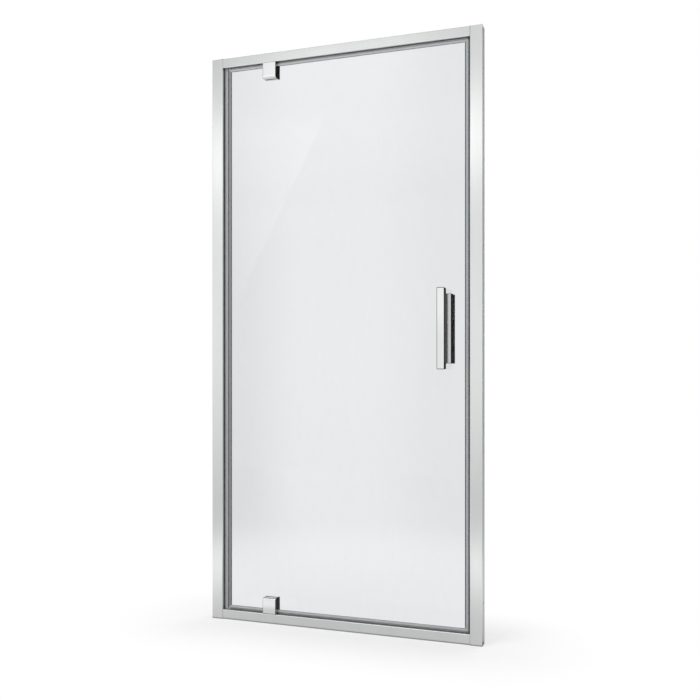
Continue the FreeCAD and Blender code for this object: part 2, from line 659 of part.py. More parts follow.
edge, plate, flange = s.jamb_at, s.jamb_at - s.strip_base, s.strip_flange / 2
nose = s.jamb_at - s.strip_deep
cheek = s.magnet_wide / 2 + s.magnet_play + s.magnet_wall
stop_back = s.seal_half + s.strike_stop_gap + s.strike_stop_thick
stop_front, stop_end = stop_back - s.strike_stop_thick, s.jamb_at - s.strike_stop
magnet_room = box(plate - s.magnet_thick - s.magnet_play * 2, plate,
                  -s.magnet_wide / 2 - s.magnet_play, s.magnet_wide / 2 + s.magnet_play)
strip("strike_strip", [
    [(edge, -flange)] + foot(edge, 1) + [
        (edge, stop_back), (stop_end, stop_back), (stop_end, stop_front), (plate, stop_front),
        (plate, cheek), (nose, cheek), (nose, -cheek), (plate, -cheek), (plate, -flange)],
    magnet_room])
strip("strike_magnet", [box(plate - s.magnet_thick - s.magnet_play, plate - s.magnet_play,
                            -s.magnet_wide / 2, s.magnet_wide / 2)])

edge, plate = -s.jamb_at, s.strip_base - s.jamb_at
nose, cheek, slant = s.gasket_deep - s.jamb_at, s.gasket_wide / 2, s.gasket_nose
wall = s.gasket_wall
strip("hinge_gasket", [
    [(edge, flange)] + foot(edge, -1)[::-1] + [
        (edge, -flange), (plate, -flange), (plate, -cheek), (nose - slant, -cheek),
        (nose, slant - cheek), (nose, cheek - slant), (nose - slant, cheek), (plate, cheek),
        (plate, flange)],
    [(plate, wall - cheek), (nose - slant, wall - cheek), (nose - wall, slant - cheek),
     (nose - wall, cheek - slant), (nose - slant, cheek - wall), (plate, cheek - wall)]])

# ------------------------------------------------------------------------------- leaf
# The glass, with a cut-out round each pivot and two holes for the handle.
low_cut, high_cut = s.glass_bottom + s.cut_deep, s.glass_top - s.cut_deep
cut_left, cut_right = s.axis_x - s.cut_wide / 2, s.axis_x + s.cut_wide / 2
pane = new_body("glass_pane")
pane_outline = [
    (s.glass_left, s.glass_bottom), (cut_left, s.glass_bottom), (cut_left, low_cut), (cut_right, low_cut),
    (cut_right, s.glass_bottom), (s.glass_right, s.glass_bottom), (s.glass_right, s.glass_top),
    (cut_right, s.glass_top), (cut_right, high_cut), (cut_left, high_cut), (cut_left, s.glass_top),
    (s.glass_left, s.glass_top)]
handle_screw_heights = [s.handle_at + s.handle_screw_pitch * half for half in (-0.5, 0.5)]
sheet_of_glass = pad(pane, draw(pane, "XZ_Plane", [pane_outline]), s.glass_thick, both=True)
sheet_of_glass = soften(pane, "Fillet", sheet_of_glass, s.cut_round, lambda at, along: (
    abs(along.y) > 0.99 and (near(at.z, low_cut) or near(at.z, high_cut))))
soften(pane, "Chamfer", sheet_of_glass, s.glass_edge, lambda at, along: (
    along.Length > 0.5 and abs(along.y) < 0.01))
pocket_marks = draw(pane, "XZ_Plane", name="HandleHoles", circles=[
    (s.handle_mid, up, s.handle_hole / 2) for up in handle_screw_heights])
drill = pane.newObject("PartDesign::Pocket", "glass_pane_Drill")
drill.Profile = pocket_marks
drill.Type = "ThroughAll"
drill.Midplane = True
doc.recompute()
keep(pane)

# The seals are clipped on the glass. The upright ones run its whole height.
arm, grip, back, cover, fin = s.seal_half, s.glass_half, s.seal_back, s.seal_cover, s.fin_thick / 2
leaf_tall = s.leaf_top - s.leaf_bottom
hinge_arm_end = s.glass_left + cover
wiper_end = s.short_edge - s.pivot_edge_gap + s.soft_gap


def upright_seal(label, outlines, tall=leaf_tall, low=s.leaf_bottom):
    body = new_body(label)
    pad(body, draw(body, "XY_Plane", outlines), tall)
    return keep(place(body, (0, 0, low)))


upright_seal("hinge_edge_seal", [[
    (s.short_edge, -arm), (hinge_arm_end, -arm), (hinge_arm_end, -grip), (s.glass_left, -grip),
    (s.glass_left, grip), (hinge_arm_end, grip), (hinge_arm_end, arm), (s.short_edge, arm),
    (s.short_edge, fin), (wiper_end, fin), (wiper_end, -fin), (s.short_edge, -fin)]])

strike_arm_end = s.glass_right - s.strike_cover
room_left = s.glass_right + s.magnet_wall
room_right = room_left + s.magnet_thick + s.magnet_play * 2
room_half = s.magnet_wide / 2 + s.magnet_play
upright_seal("strike_edge_seal", [
    [(strike_arm_end, -arm), (s.long_edge, -arm), (s.long_edge, arm), (strike_arm_end, arm),
     (strike_arm_end, grip), (s.glass_right, grip), (s.glass_right, -grip), (strike_arm_end, -grip)],
    box(room_left, room_right, -room_half, room_half)])
upright_seal("strike_edge_magnet", [box(room_left + s.magnet_play, room_right - s.magnet_play,
                                        -s.magnet_wide / 2, s.magnet_wide / 2)],
             leaf_tall - s.magnet_end * 2, s.leaf_bottom + s.magnet_end)


def level_seal(label, left, right, outline, up):
    """A seal along X between two places, from an outline of (depth, height)."""
    body = new_body(label)
    pad(body, draw(body, "YZ_Plane", [outline]), right - left)
    return keep(place(body, (left, 0, up)))


arms = back + s.level_cover
top_outline = [(-arm, 0), (-arm, -arms), (-grip, -arms), (-grip, -back), (grip, -back), (grip, -arms),
               (arm, -arms), (arm, 0), (fin, 0), (fin, s.head_gap - s.soft_gap),
               (-fin, s.head_gap - s.soft_gap), (-fin, 0)]
sweep = s.soft_gap - s.sill_gap
lip = arm + s.drip_reach
low_outline = [(-arm, 0), (-fin, 0), (-fin, sweep), (fin, sweep), (fin, 0), (arm, 0), (lip, -s.drip_drop),
               (lip, s.fin_thick - s.drip_drop), (arm, s.fin_thick * 1.5), (arm, arms), (grip, arms),
               (grip, back), (-grip, back), (-grip, arms), (-arm, arms)]
spans = (("left", hinge_arm_end, s.axis_x - s.block_half - s.soft_gap),
         ("right", s.axis_x + s.block_half + s.soft_gap, strike_arm_end))
for side, left, right in spans:
    level_seal(f"top_seal_{side}", left, right, top_outline, s.leaf_top)
    level_seal(f"bottom_seal_{side}", left, right, low_outline, s.leaf_bottom)

# ----------------------------------------------------------------------------- pivots
# A pivot block is drawn for the bottom, with its end at the sill at 0 and its outer side
# towards -Y. The inner block is turned about Z, and the top pair is turned over.
clamp_reach = s.depth_half + s.metal_at + s.clamp_screw_bite
core_half = s.core_wide / 2
clamp_sides = (-s.clamp_screw_at, s.clamp_screw_at)


def make_block(label, bore_depth):
    body = new_body(label)
    wide, tall, deep = s.block_half, s.block_tall, s.block_deep
    block = pad(body, draw(body, "XZ_Plane", [box(-wide, wide, 0, tall)]), deep)
    block = soften(body, "Fillet", block, s.block_round, lambda at, along: (
        abs(along.x) > 0.99 and near(at.z, tall) and near(at.y, -deep)))
    soften(body, "Fillet", block, s.block_edge, lambda at, along: (
        (abs(along.x) < 0.01 and near(abs(at.x), wide) and not near(at.y, 0) and at.z > 0.001)
        or (abs(along.x) > 0.99 and near(at.z, tall) and near(at.y, 0))))
    room = core_half + s.core_gap
    nest = draw(body, "XZ_Plane", [box(-room, room, -s.core_gap, s.core_tall + s.core_gap)], name="Nest")
    pocket(body, nest, s.core_deep / 2 - s.metal_at + s.core_gap, back=True)
    if bore_depth is not None:
        marks = draw(body, "XZ_Plane", name="Threads", circles=[
            (side, s.clamp_screw_up, s.clamp_screw / 2 + s.hole_gap) for side in clamp_sides])
        pocket(body, marks, bore_depth, back=True)
    return body


def make_pad(label, lap):
    """The gasket between a block and the glass, cut out as the glass is. lap is how far the
    block reaches past the glass's edge."""
    body = new_body(label)
    wide, tall, notch = s.block_half - s.pad_inset, s.block_tall - s.pad_inset, s.cut_wide / 2
    outline = [(-wide, lap), (-notch, lap), (-notch, lap + s.cut_deep), (notch, lap + s.cut_deep),
               (notch, lap), (wide, lap), (wide, tall), (-wide, tall)]
    pad(body, draw(body, "XZ_Plane", [outline]), s.pad_thick)
    return body


# Where each pivot's end at its rail is, how it is turned (outer and inner side), and its lap.
clamp_master = screw("clamp_screw_master", s.clamp_screw, clamp_reach, s.clamp_screw_head, sunk=True)
clamp_cut = screw_hole("clamp_screw_hole", s.clamp_screw, s.block_deep * 2, s.clamp_screw_head)
PIVOTS = (
    ("bottom_pivot", s.low_block_end, 1, (Z_AXIS, 0), (Z_AXIS, 180), s.glass_bottom - s.low_block_end),
    ("top_pivot", s.top_block_end, -1, (Y_AXIS, 180), (X_AXIS, 180), s.top_block_end - s.glass_top),
)
for name, end, sign, outer_turn, inner_turn, lap in PIVOTS:
    height = end + s.clamp_screw_up * sign
    spots = [((s.axis_x + side, s.depth_half, height), X_AXIS, -90) for side in clamp_sides]
    outer = make_block(f"{name}_outer_block", s.clamp_screw_bite + s.hole_gap)
    inner = make_block(f"{name}_inner_solid", None)
    keep(place(outer, (s.axis_x, -s.metal_at, end), *outer_turn))
    place(inner, (s.axis_x, s.metal_at, end), *inner_turn)
    keep(cut(f"{name}_inner_block", inner, group(f"{name}_clamp_holes", clamp_cut, spots)))
    keep(group(f"{name}_clamp_screws", clamp_master, spots))
    for side, face, turn in (("outer", -s.glass_half, outer_turn), ("inner", s.glass_half, inner_turn)):
        keep(place(make_pad(f"{name}_{side}_gasket", lap), (s.axis_x, face, end), *turn))

    core = new_body(f"{name}_core")
    outline = box(-core_half, core_half, -s.core_deep / 2, s.core_deep / 2)
    pad(core, draw(core, "XY_Plane", [outline]), s.core_tall)
    bore = [(0, 0, s.pin_wide / 2 + s.press_gap)]
    pocket(core, draw(core, "XY_Plane", circles=bore, name="Bore"), s.pin_in_core + s.press_gap)
    keep(place(core, (s.axis_x, 0, end), *outer_turn))

    shank, chamfer = s.pin_wide / 2, s.pin_nose
    far = -s.block_gap - s.pin_in_bush
    pin = turned(f"{name}_pin", [
        (0, s.pin_in_core), (shank - chamfer, s.pin_in_core), (shank, s.pin_in_core - chamfer),
        (shank, far + chamfer), (shank - chamfer, far), (0, far)])
    keep(place(pin, (s.axis_x, 0, end), *outer_turn))

# ----------------------------------------------------------------------------- handle
# An outer and an inner block are clamped through the glass, and the grip bar stands on the
# outer one, set over towards the pivots so that fingers reach behind it.


def slab(label, wide, deep, tall, edge, wanted, circles=()):
    """A block drawn about its middle, from its seat at 0 out to -Y, with rounded edges."""
    body = new_body(label)
    block = pad(body, draw(body, "XZ_Plane", [box(-wide / 2, wide / 2, -tall / 2, tall / 2)]), deep)
    if edge is not None:
        soften(body, "Fillet", block, edge, wanted)
    if circles:
        pocket(body, draw(body, "XZ_Plane", circles=circles, name="Bores"), circle_depth[label], back=True)
    return body


handle_inner_face = s.metal_at + s.handle_block_deep
handle_reach = handle_inner_face + s.metal_at + s.handle_screw_bite
handle_spots = [((s.handle_mid, handle_inner_face, up), X_AXIS, -90) for up in handle_screw_heights]
handle_holes = [s.handle_screw_pitch * half for half in (-0.5, 0.5)]
grip_holes = [s.grip_screw_pitch * half for half in (-0.5, 0.5)]
grip_offset = s.grip_mid - s.handle_mid
grip_head_at = s.metal_at + s.grip_screw_sink - s.grip_screw_head_tall
grip_reach = s.grip_screw_head_tall + s.handle_block_deep - s.grip_screw_sink + s.grip_screw_bite
circle_depth = {
    "handle_outer_solid": s.handle_screw_bite + s.hole_gap,
    "handle_outer_gasket": s.pad_thick,
    "handle_inner_gasket": s.pad_thick,
    "grip_bar": s.grip_screw_bite + s.hole_gap,
}


def front_edges(at, along):
    return along.Length > 0.5 and near(at.y, -s.handle_block_deep)


def every_edge(at, along):
    return along.Length > 0.5


block_size = (s.handle_block_wide, s.handle_block_deep, s.handle_block_tall, s.handle_block_edge)
threads = [(0, up, s.handle_screw / 2 + s.hole_gap) for up in handle_holes]
outer = slab("handle_outer_solid", *block_size, front_edges, threads)
place(outer, (s.handle_mid, -s.metal_at, s.handle_at))
sink, shank = s.grip_screw_head / 2 + s.hole_gap, s.grip_screw / 2 + s.hole_gap
sink_floor, through = -s.grip_screw_sink, -s.handle_block_deep - s.hole_gap
stepped = turned("grip_screw_hole", [(0, s.hole_gap), (sink, s.hole_gap), (sink, sink_floor),
                                     (shank, sink_floor), (shank, through), (0, through)])
stepped_holes = group("grip_screw_holes", stepped, [
    ((s.grip_mid, -s.metal_at, s.handle_at + up), X_AXIS, -90) for up in grip_holes])
keep(cut("handle_outer_block", outer, stepped_holes))

inner = slab("handle_inner_solid", *block_size, front_edges)
place(inner, (s.handle_mid, s.metal_at, s.handle_at), Z_AXIS, 180)
handle_cut = screw_hole("handle_screw_hole", s.handle_screw, s.handle_block_deep * 2, s.handle_screw_head)
keep(cut("handle_inner_block", inner, group("handle_screw_holes", handle_cut, handle_spots)))
handle_master = screw("handle_screw_master", s.handle_screw, handle_reach, s.handle_screw_head, sunk=True)
keep(group("handle_screws", handle_master, handle_spots))

pad_size = (s.handle_block_wide - s.pad_inset * 2, s.pad_thick, s.handle_block_tall - s.pad_inset * 2)
loose = [(0, up, s.handle_screw / 2 + s.sleeve_gap) for up in handle_holes]
for side, face, angle in (("outer", -s.glass_half, 0), ("inner", s.glass_half, 180)):
    gasket = slab(f"handle_{side}_gasket", *pad_size, None, None, loose)
    keep(place(gasket, (s.handle_mid, face, s.handle_at), Z_AXIS, angle))
sleeve_in, sleeve_out = s.handle_screw / 2 + s.sleeve_gap, s.handle_hole / 2 - s.sleeve_gap
sleeve = turned("sleeve_master", box(sleeve_in, sleeve_out, -s.glass_half, s.glass_half))
keep(group("handle_sleeves", sleeve, [
    ((s.handle_mid, 0, up), X_AXIS, -90) for up in handle_screw_heights]))

bar = slab("grip_bar", s.grip_wide, s.grip_deep, s.grip_tall, s.grip_edge, every_edge,
           [(s.grip_wide / 2 - s.grip_lap / 2, up, shank) for up in grip_holes])
keep(place(bar, (s.grip_left + s.grip_wide / 2, -s.grip_back, s.handle_at)))
grip_master = screw("grip_screw_master", s.grip_screw, grip_reach, s.grip_screw_head,
                    s.grip_screw_head_tall)
keep(group("grip_screws", grip_master, [
    ((s.grip_mid, -grip_head_at, s.handle_at + up), X_AXIS, -90) for up in grip_holes]))

# ------------------------------------------------------------------------------ export
doc.recompute()
for item in doc.Objects:
    if "Invalid" in item.State or "Error" in item.State:
        raise RuntimeError(f"{item.Name} failed: {item.State}")
for piece in pieces:
    if piece.Shape.isNull() or not piece.Shape.isValid():
        raise RuntimeError(f"{piece.Label} has no valid shape")
os.makedirs("parts", exist_ok=True)
for piece in pieces:
    piece.Shape.exportStep(f"parts/{piece.Label}.step")
    print(f"{piece.Label}: {len(piece.Shape.Solids)} solid(s), {piece.Shape.Volume:.0f} mm3")
print(len(pieces), "pieces")
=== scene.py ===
# %% [markdown]
# # A pivot shower door, dressed in cells
#
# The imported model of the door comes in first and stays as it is: posts, rails, glass, pivots
# and handle are true to size. What is added here is what the eye needs: soft seals with their
# lips and mitred corners, pads with a squeezed rim, a grip bar with polished edges, the finish
# of every piece, a pale studio and the camera. Everything is in metres. X runs from the pivot
# side to the handle side, Y from outside into the shower, Z up.

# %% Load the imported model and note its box
import bpy
import bmesh
import json
import math
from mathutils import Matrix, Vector


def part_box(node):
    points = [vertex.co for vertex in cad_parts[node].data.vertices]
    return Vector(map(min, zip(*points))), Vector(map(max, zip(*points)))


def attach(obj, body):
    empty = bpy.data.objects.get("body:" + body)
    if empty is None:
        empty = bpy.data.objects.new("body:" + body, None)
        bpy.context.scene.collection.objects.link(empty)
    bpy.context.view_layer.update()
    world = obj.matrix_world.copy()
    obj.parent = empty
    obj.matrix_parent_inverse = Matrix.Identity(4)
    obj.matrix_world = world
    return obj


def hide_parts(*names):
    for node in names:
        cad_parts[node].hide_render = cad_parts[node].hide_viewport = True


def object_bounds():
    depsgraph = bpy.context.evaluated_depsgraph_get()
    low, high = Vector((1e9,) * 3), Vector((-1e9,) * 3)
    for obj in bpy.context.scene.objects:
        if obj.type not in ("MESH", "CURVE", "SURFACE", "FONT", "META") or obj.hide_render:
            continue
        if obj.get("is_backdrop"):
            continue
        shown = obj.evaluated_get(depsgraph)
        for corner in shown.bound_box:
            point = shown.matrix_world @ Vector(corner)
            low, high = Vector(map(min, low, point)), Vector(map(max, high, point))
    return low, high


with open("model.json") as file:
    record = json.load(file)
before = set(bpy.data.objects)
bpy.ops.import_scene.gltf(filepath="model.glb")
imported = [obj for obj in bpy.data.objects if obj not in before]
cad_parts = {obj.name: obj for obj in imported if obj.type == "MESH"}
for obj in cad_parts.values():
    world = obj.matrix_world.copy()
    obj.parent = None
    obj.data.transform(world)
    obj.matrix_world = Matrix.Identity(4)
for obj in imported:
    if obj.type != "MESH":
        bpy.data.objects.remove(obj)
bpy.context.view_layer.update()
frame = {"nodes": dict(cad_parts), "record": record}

MM = 0.001

# %% [markdown]
# ## Camera
#
# The door is seen from its handle side, turned by a little over 19 degrees, with the camera
# level at about the height of the handle. A level camera keeps the posts upright, and a
# small upward shift of the lens frames the door without tilting it.

# %% Put the camera where the photographer stood
CAMERA_PLACE = (0.912, -2.531, 0.819)
VIEW_TURN = math.radians(19.27)
LENS_MM, SENSOR_MM = 43.71, 36.0
LENS_SHIFT = 21 / 700

lens = bpy.data.cameras.new("studio_camera")
lens.lens = LENS_MM
lens.sensor_width = SENSOR_MM
lens.shift_y = LENS_SHIFT
camera = bpy.data.objects.new("studio_camera", lens)
bpy.context.collection.objects.link(camera)
camera.location = CAMERA_PLACE
camera.rotation_euler = (math.pi / 2, 0, VIEW_TURN)
bpy.context.scene.camera = camera
print("camera at", CAMERA_PLACE)

# %% [markdown]
# ## Colours and nodes
#
# Colours are written as hex codes, as on a paint chart, and turned to the linear numbers
# that the shader works in. One function adds a node with its settings and links, so that a
# finish reads like a list of what was wired up in the shader editor.

# %% Colour and node helpers


def tone(code):
    """An sRGB hex code as linear colour."""
    parts = [int(code[place:place + 2], 16) / 255 for place in (1, 3, 5)]
    return (*(part / 12.92 if part <= 0.04045 else ((part + 0.055) / 1.055) ** 2.4 for part in parts), 1.0)


def node(tree, kind, settings=None, **links):
    """Adds a node. A link or value goes to the socket of that name, with _ for a space, or to
    the socket of that number, as in i0. A whole node stands for its first output."""
    made = tree.nodes.new("ShaderNode" + kind)
    for name, value in (settings or {}).items():
        setattr(made, name, value)
    for name, value in links.items():
        numbered = name[0] == "i" and name[1:].isdigit()
        socket = made.inputs[int(name[1:]) if numbered else name.replace("_", " ")]
        if isinstance(value, bpy.types.Node):
            value = value.outputs[0]
        if isinstance(value, bpy.types.NodeSocket):
            tree.links.new(value, socket)
        else:
            socket.default_value = value
    return made


print("white is", tone("#FFFFFF"))

# %% [markdown]
# ## Sums, products and profiles
#
# Where a mark, an edge or a patch of light lies is worked out with numbers. Terms are added
# and masks multiplied, as many as are needed, and a profile gives a level for each place:
# it runs through knots, like a line drawn through points on squared paper. Its slopes are
# straight for marks on a surface and eased for light, which has no hard edges.

# %% Sums, products and profiles


def product(tree, first, *factors):
    """All the factors, multiplied."""
    for factor in factors:
        first = node(tree, "Math", {"operation": "MULTIPLY"}, i0=first, i1=factor)
    return first


def total(tree, first, *terms):
    """All the terms, added up."""
    for term in terms:
        first = node(tree, "Math", {"operation": "ADD"}, i0=first, i1=term)
    return first


def profile(tree, value, *knots, ease="SMOOTHSTEP"):
    """The level that belongs to a value. Each knot is a place and its level."""
    slopes = []
    for (start, low), (end, high) in zip(knots, knots[1:]):
        if low != high:
            below = low if slopes else 0.0
            slopes.append(node(tree, "MapRange", {"interpolation_type": ease}, Value=value, i1=start, i2=end,
                               i3=low - below, i4=high - below))
    return total(tree, *slopes)


print("a profile has one slope for each change of level")

# %% [markdown]
# ## Steps that the finishes share
#
# Every finish here starts in the same way, has a noise whose grain is given in millimetres,
# mixes two shades of its colour, and lets the same marks change the gloss and stand out as
# relief. A constant value, such as the IOR, is set on the shader itself.

# %% Start, grain, paint, gloss and relief


def new_finish(name, **values):
    """A material with its shader, and the place of each point on the piece."""
    material = bpy.data.materials.new(name)
    material.use_nodes = True
    tree = material.node_tree
    tree.nodes.clear()
    shader = node(tree, "BsdfPrincipled", None, **values)
    node(tree, "OutputMaterial", None, Surface=shader)
    return material, tree, shader, node(tree, "TexCoord").outputs["Object"]


def grain(tree, place, size, detail=3.0):
    """Noise whose grain has these lengths in millimetres along X, Y and Z."""
    mapped = node(tree, "Mapping", None, Vector=place, Scale=[1 / (length * MM) for length in size])
    return node(tree, "TexNoise", None, Vector=mapped, Scale=1.0, Detail=detail).outputs["Fac"]


def paint(tree, shader, mask, first, second):
    """Mixes two colours into the base colour, the second where the mask is 1. Each is a hex
    code or a colour that was mixed before."""
    first, second = (tone(colour) if isinstance(colour, str) else colour for colour in (first, second))
    mixed = node(tree, "Mix", {"data_type": "RGBA"}, i0=mask, i6=first, i7=second).outputs[2]
    tree.links.new(mixed, shader.inputs["Base Color"])
    return mixed


def vary_gloss(tree, shader, marks, smooth, rough, start=0.3, end=0.7):
    """The roughness goes from smooth to rough as the marks go from start to end."""
    level = profile(tree, marks, (start, smooth), (end, rough), ease="LINEAR")
    tree.links.new(level.outputs[0], shader.inputs["Roughness"])


def emboss(tree, shader, height, depth_mm, strength):
    """Lets the height show as relief of that depth."""
    relief = node(tree, "Bump", None, Height=height, Strength=strength, Distance=depth_mm * MM)
    tree.links.new(relief.outputs["Normal"], shader.inputs["Normal"])


print("steps ready")

# %% [markdown]
# ## Bright aluminium
#
# The posts and rails are extruded aluminium, polished and bright anodised, so they look
# almost like chrome. The die leaves faint lines along the length, and the polish leaves
# reflections soft rather than mirror sharp. The lines are drawn wider than real ones, about
# a millimetre, because finer ones would not show at this distance. The head's upper front
# edge gets a painted dark reflection, a dark grey in its base colour: the surface's own
# normal finds it.

# %% Polished extrusions, with their die lines along the length


def bright_aluminium(name, lines, painted_dark_edge=None):
    """lines is the grain in millimetres, and painted_dark_edge the way that the edge with a painted dark reflection
    faces.
    """
    material, tree, shader, place = new_finish(name, Metallic=1.0)
    die = grain(tree, place, lines)
    metal = paint(tree, shader, grain(tree, place, (70, 70, 240), 2.0), "#DADBDB", "#E2E3E3")
    # painted dark reflection: the edge that faces this way gets a dark grey base colour
    if painted_dark_edge:
        turned = node(tree, "VectorMath", {"operation": "DOT_PRODUCT"},
                      i0=node(tree, "TexCoord").outputs["Normal"], i1=painted_dark_edge).outputs["Value"]
        paint(tree, shader, profile(tree, turned, (0.84, 0), (0.92, 1), ease="LINEAR"), metal, "#55575A")
    vary_gloss(tree, shader, die, 0.14, 0.22)
    emboss(tree, shader, die, 0.01, 0.25)
    return material


post_finish = bright_aluminium("polished_anodised_aluminium_posts", (1.1, 1.1, 900))
sill_finish = bright_aluminium("polished_anodised_aluminium_sill", (900, 1.1, 1.1))
# the head's upper front edge gets the painted dark reflection
head_finish = bright_aluminium("polished_anodised_aluminium_head", (900, 1.1, 1.1), (0, -0.707, 0.707))
print("extrusions:", post_finish.name, sill_finish.name, head_finish.name)

# %% [markdown]
# ## Mill-finish aluminium
#
# The wall channels are the same metal straight from the press. They are greyer and duller,
# with stronger die lines and a cloudy skin, because nobody sees them once the door is up.

# %% Mill finish for the wall channels


def mill_aluminium(name):
    material, tree, shader, place = new_finish(name, Metallic=1.0)
    die = grain(tree, place, (0.8, 0.8, 500), 4.0)
    cloud = grain(tree, place, (14, 14, 60), 4.0)
    paint(tree, shader, cloud, "#A6A9AB", "#BFC1C2")
    vary_gloss(tree, shader, cloud, 0.34, 0.5)
    emboss(tree, shader, die, 0.03, 0.5)
    return material


mill_finish = mill_aluminium("mill_finish_aluminium")
print("wall channels:", mill_finish.name)

# %% [markdown]
# ## Where the surface turns
#
# A chromed casting is polished all over, but its small roundings mirror everything at once
# and look like dark lines. These lines are painted reflections: the roundings get a near-black
# base colour. They can be found by their normals: on a rounding the surface faces two ways at
# the same time, so the product of the two is well above zero.

# %% Find the faces and the roundings
ON_A_ROUNDING = ((0.06, 0), (0.2, 1))
PAINTED_REFLECTION_TONE = "#1E1F20"


def facing(tree):
    """How much the surface points along X, Y and Z, from 0 to 1 each."""
    parts = node(tree, "SeparateXYZ", None, Vector=node(tree, "TexCoord").outputs["Normal"]).outputs
    return {letter: node(tree, "Math", {"operation": "ABSOLUTE"}, i0=parts[letter]) for letter in "XYZ"}


def rounded(tree, *pairs):
    """1 on the small roundings between two such faces, as in XY for the upright ones."""
    ways = facing(tree)
    most = 0.0
    for first, second in pairs:
        most = node(tree, "Math", {"operation": "MAXIMUM"}, i0=most, i1=product(tree, ways[first], ways[second]))
    return profile(tree, most, *ON_A_ROUNDING, ease="LINEAR")


print("roundings take the tone", PAINTED_REFLECTION_TONE)

# %% [markdown]
# ## Chrome plate
#
# Pivot blocks, handle and post caps are zinc or brass castings, polished and chromed.
# Chrome mirrors more sharply than the aluminium. What shows on it close up are hair-fine
# wiping marks and a very slight waviness of the polished casting. The handle's blocks are
# ground on the faces that lie along the glass, so these stay satin under the chrome, with
# fine upright grinding marks, while their sides are bright.

# %% Chrome plate on the pivots, the handle and the caps


def chrome_plate(name, *roundings):
    material, tree, shader, place = new_finish(name, Metallic=1.0)
    metal = paint(tree, shader, grain(tree, place, (30, 30, 30), 2.0), "#E6E7E8", "#EDEDEC")
    # painted reflection: the small roundings get a near-black base colour
    paint(tree, shader, rounded(tree, *roundings), metal, PAINTED_REFLECTION_TONE)
    vary_gloss(tree, shader, grain(tree, place, (0.5, 0.5, 14), 4.0), 0.02, 0.07, end=0.75)
    emboss(tree, shader, grain(tree, place, (9, 9, 9), 1.0), 0.01, 0.2)
    return material


def ground_face_chrome(name):
    material, tree, shader, place = new_finish(name, Metallic=1.0)
    ground = profile(tree, facing(tree)["Y"], (0.9, 0), (0.98, 1), ease="LINEAR")
    marks = grain(tree, place, (0.6, 0.6, 40), 4.0)
    side = paint(tree, shader, grain(tree, place, (30, 30, 30), 2.0), "#DCDDDE", "#E6E7E7")
    face = paint(tree, shader, marks, "#C2C3C3", "#D0D0CF")
    metal = paint(tree, shader, ground, side, face)
    # painted reflection: the block's roundings get a dark grey base colour
    paint(tree, shader, rounded(tree, "XY", "YZ", "XZ"), metal, "#3E3F41")
    vary_gloss(tree, shader, ground, 0.03, 0.2, start=0.0, end=1.0)
    emboss(tree, shader, marks, 0.01, 0.15)
    return material


chrome_finish = chrome_plate("polished_chrome_plate", "XY", "XZ")
grip_finish = chrome_plate("polished_chrome_plate_grip", "XY", "YZ", "XZ")
block_finish = ground_face_chrome("chrome_plate_on_ground_face")
print("chrome:", chrome_finish.name, grip_finish.name, block_finish.name)

# %% [markdown]
# ## Toughened glass
#
# The pane is 6 mm float glass. Seen through its faces it is clear with a breath of grey,
# and its ground edges are frosted and greener, because light travels a long way inside
# the pane before it leaves there. The faces point along Y, so the normal tells the two
# apart. A trace of dried water keeps the faces from looking like empty air.

# %% Clear pane with ground edges


def toughened_glass(name):
    material, tree, shader, place = new_finish(name, IOR=1.52, Transmission_Weight=1.0)
    edge = profile(tree, facing(tree)["Y"], (0.55, 1), (0.9, 0), ease="LINEAR")
    face = paint(tree, shader, grain(tree, place, (22, 22, 55)), "#E8EAEB", "#EBEDEE")
    paint(tree, shader, edge, face, "#A9C4BC")
    vary_gloss(tree, shader, edge, 0.0, 0.45, start=0.0, end=1.0)
    return material


glass_finish = toughened_glass("toughened_float_glass")
print("glass:", glass_finish.name)

# %% [markdown]
# ## Soft PVC
#
# The seals are extruded soft PVC, slightly see-through, with the gloss of a surface that
# left a smooth die. They are made in several grades: clear grey for the clips that hold the
# glass, darker for the wiper, darkest for the soft lips and the strike strip, and pale for
# the gasket's bulb. The level lengths have their die lines along X, the upright ones along Z.

# %% Five grades of PVC
UPRIGHT_LINES, LEVEL_LINES = (0.9, 0.9, 300), (300, 0.9, 0.9)


def extruded_pvc(name, dark, pale, lines):
    material, tree, shader, place = new_finish(name, IOR=1.53, Transmission_Weight=0.22)
    paint(tree, shader, grain(tree, place, (18, 18, 18)), dark, pale)
    die = grain(tree, place, lines)
    vary_gloss(tree, shader, die, 0.16, 0.28)
    emboss(tree, shader, die, 0.02, 0.4)
    return material


upright_pvc = extruded_pvc("extruded_translucent_pvc_upright", "#B4B8BA", "#C0C4C5", UPRIGHT_LINES)
level_pvc = extruded_pvc("extruded_translucent_pvc_level", "#C4C7C9", "#CFD2D3", LEVEL_LINES)
wiper_pvc = extruded_pvc("extruded_grey_pvc_wiper", "#868A8C", "#919597", UPRIGHT_LINES)
lip_pvc = extruded_pvc("extruded_soft_grey_pvc_lip", "#484C4E", "#54585A", UPRIGHT_LINES)
gasket_pvc = extruded_pvc("extruded_pale_pvc_gasket", "#BABDBF", "#C6C9CA", UPRIGHT_LINES)
print("PVC:", *(grade.name for grade in (upright_pvc, level_pvc, wiper_pvc, lip_pvc, gasket_pvc)))

# %% [markdown]
# ## Moulded plastics
#
# The pads under the metal are dull moulded rubber, and the bushes and sleeves are acetal, a
# waxy white plastic. The magnets are pressed ferrite powder in plastic: near black, with a
# fine sparkle. What tells them apart is the skin: coarse and matt, fine and waxy, or grainy.

# %% Pads, bushes and magnets


def moulded_plastic(name, dark, pale, rough, skin_mm, depth_mm):
    material, tree, shader, place = new_finish(name, IOR=1.5)
    paint(tree, shader, grain(tree, place, (6, 6, 6)), dark, pale)
    skin = grain(tree, place, (skin_mm,) * 3, 2.0)
    vary_gloss(tree, shader, skin, rough - 0.07, rough + 0.07)
    emboss(tree, shader, skin, depth_mm, 0.5)
    return material


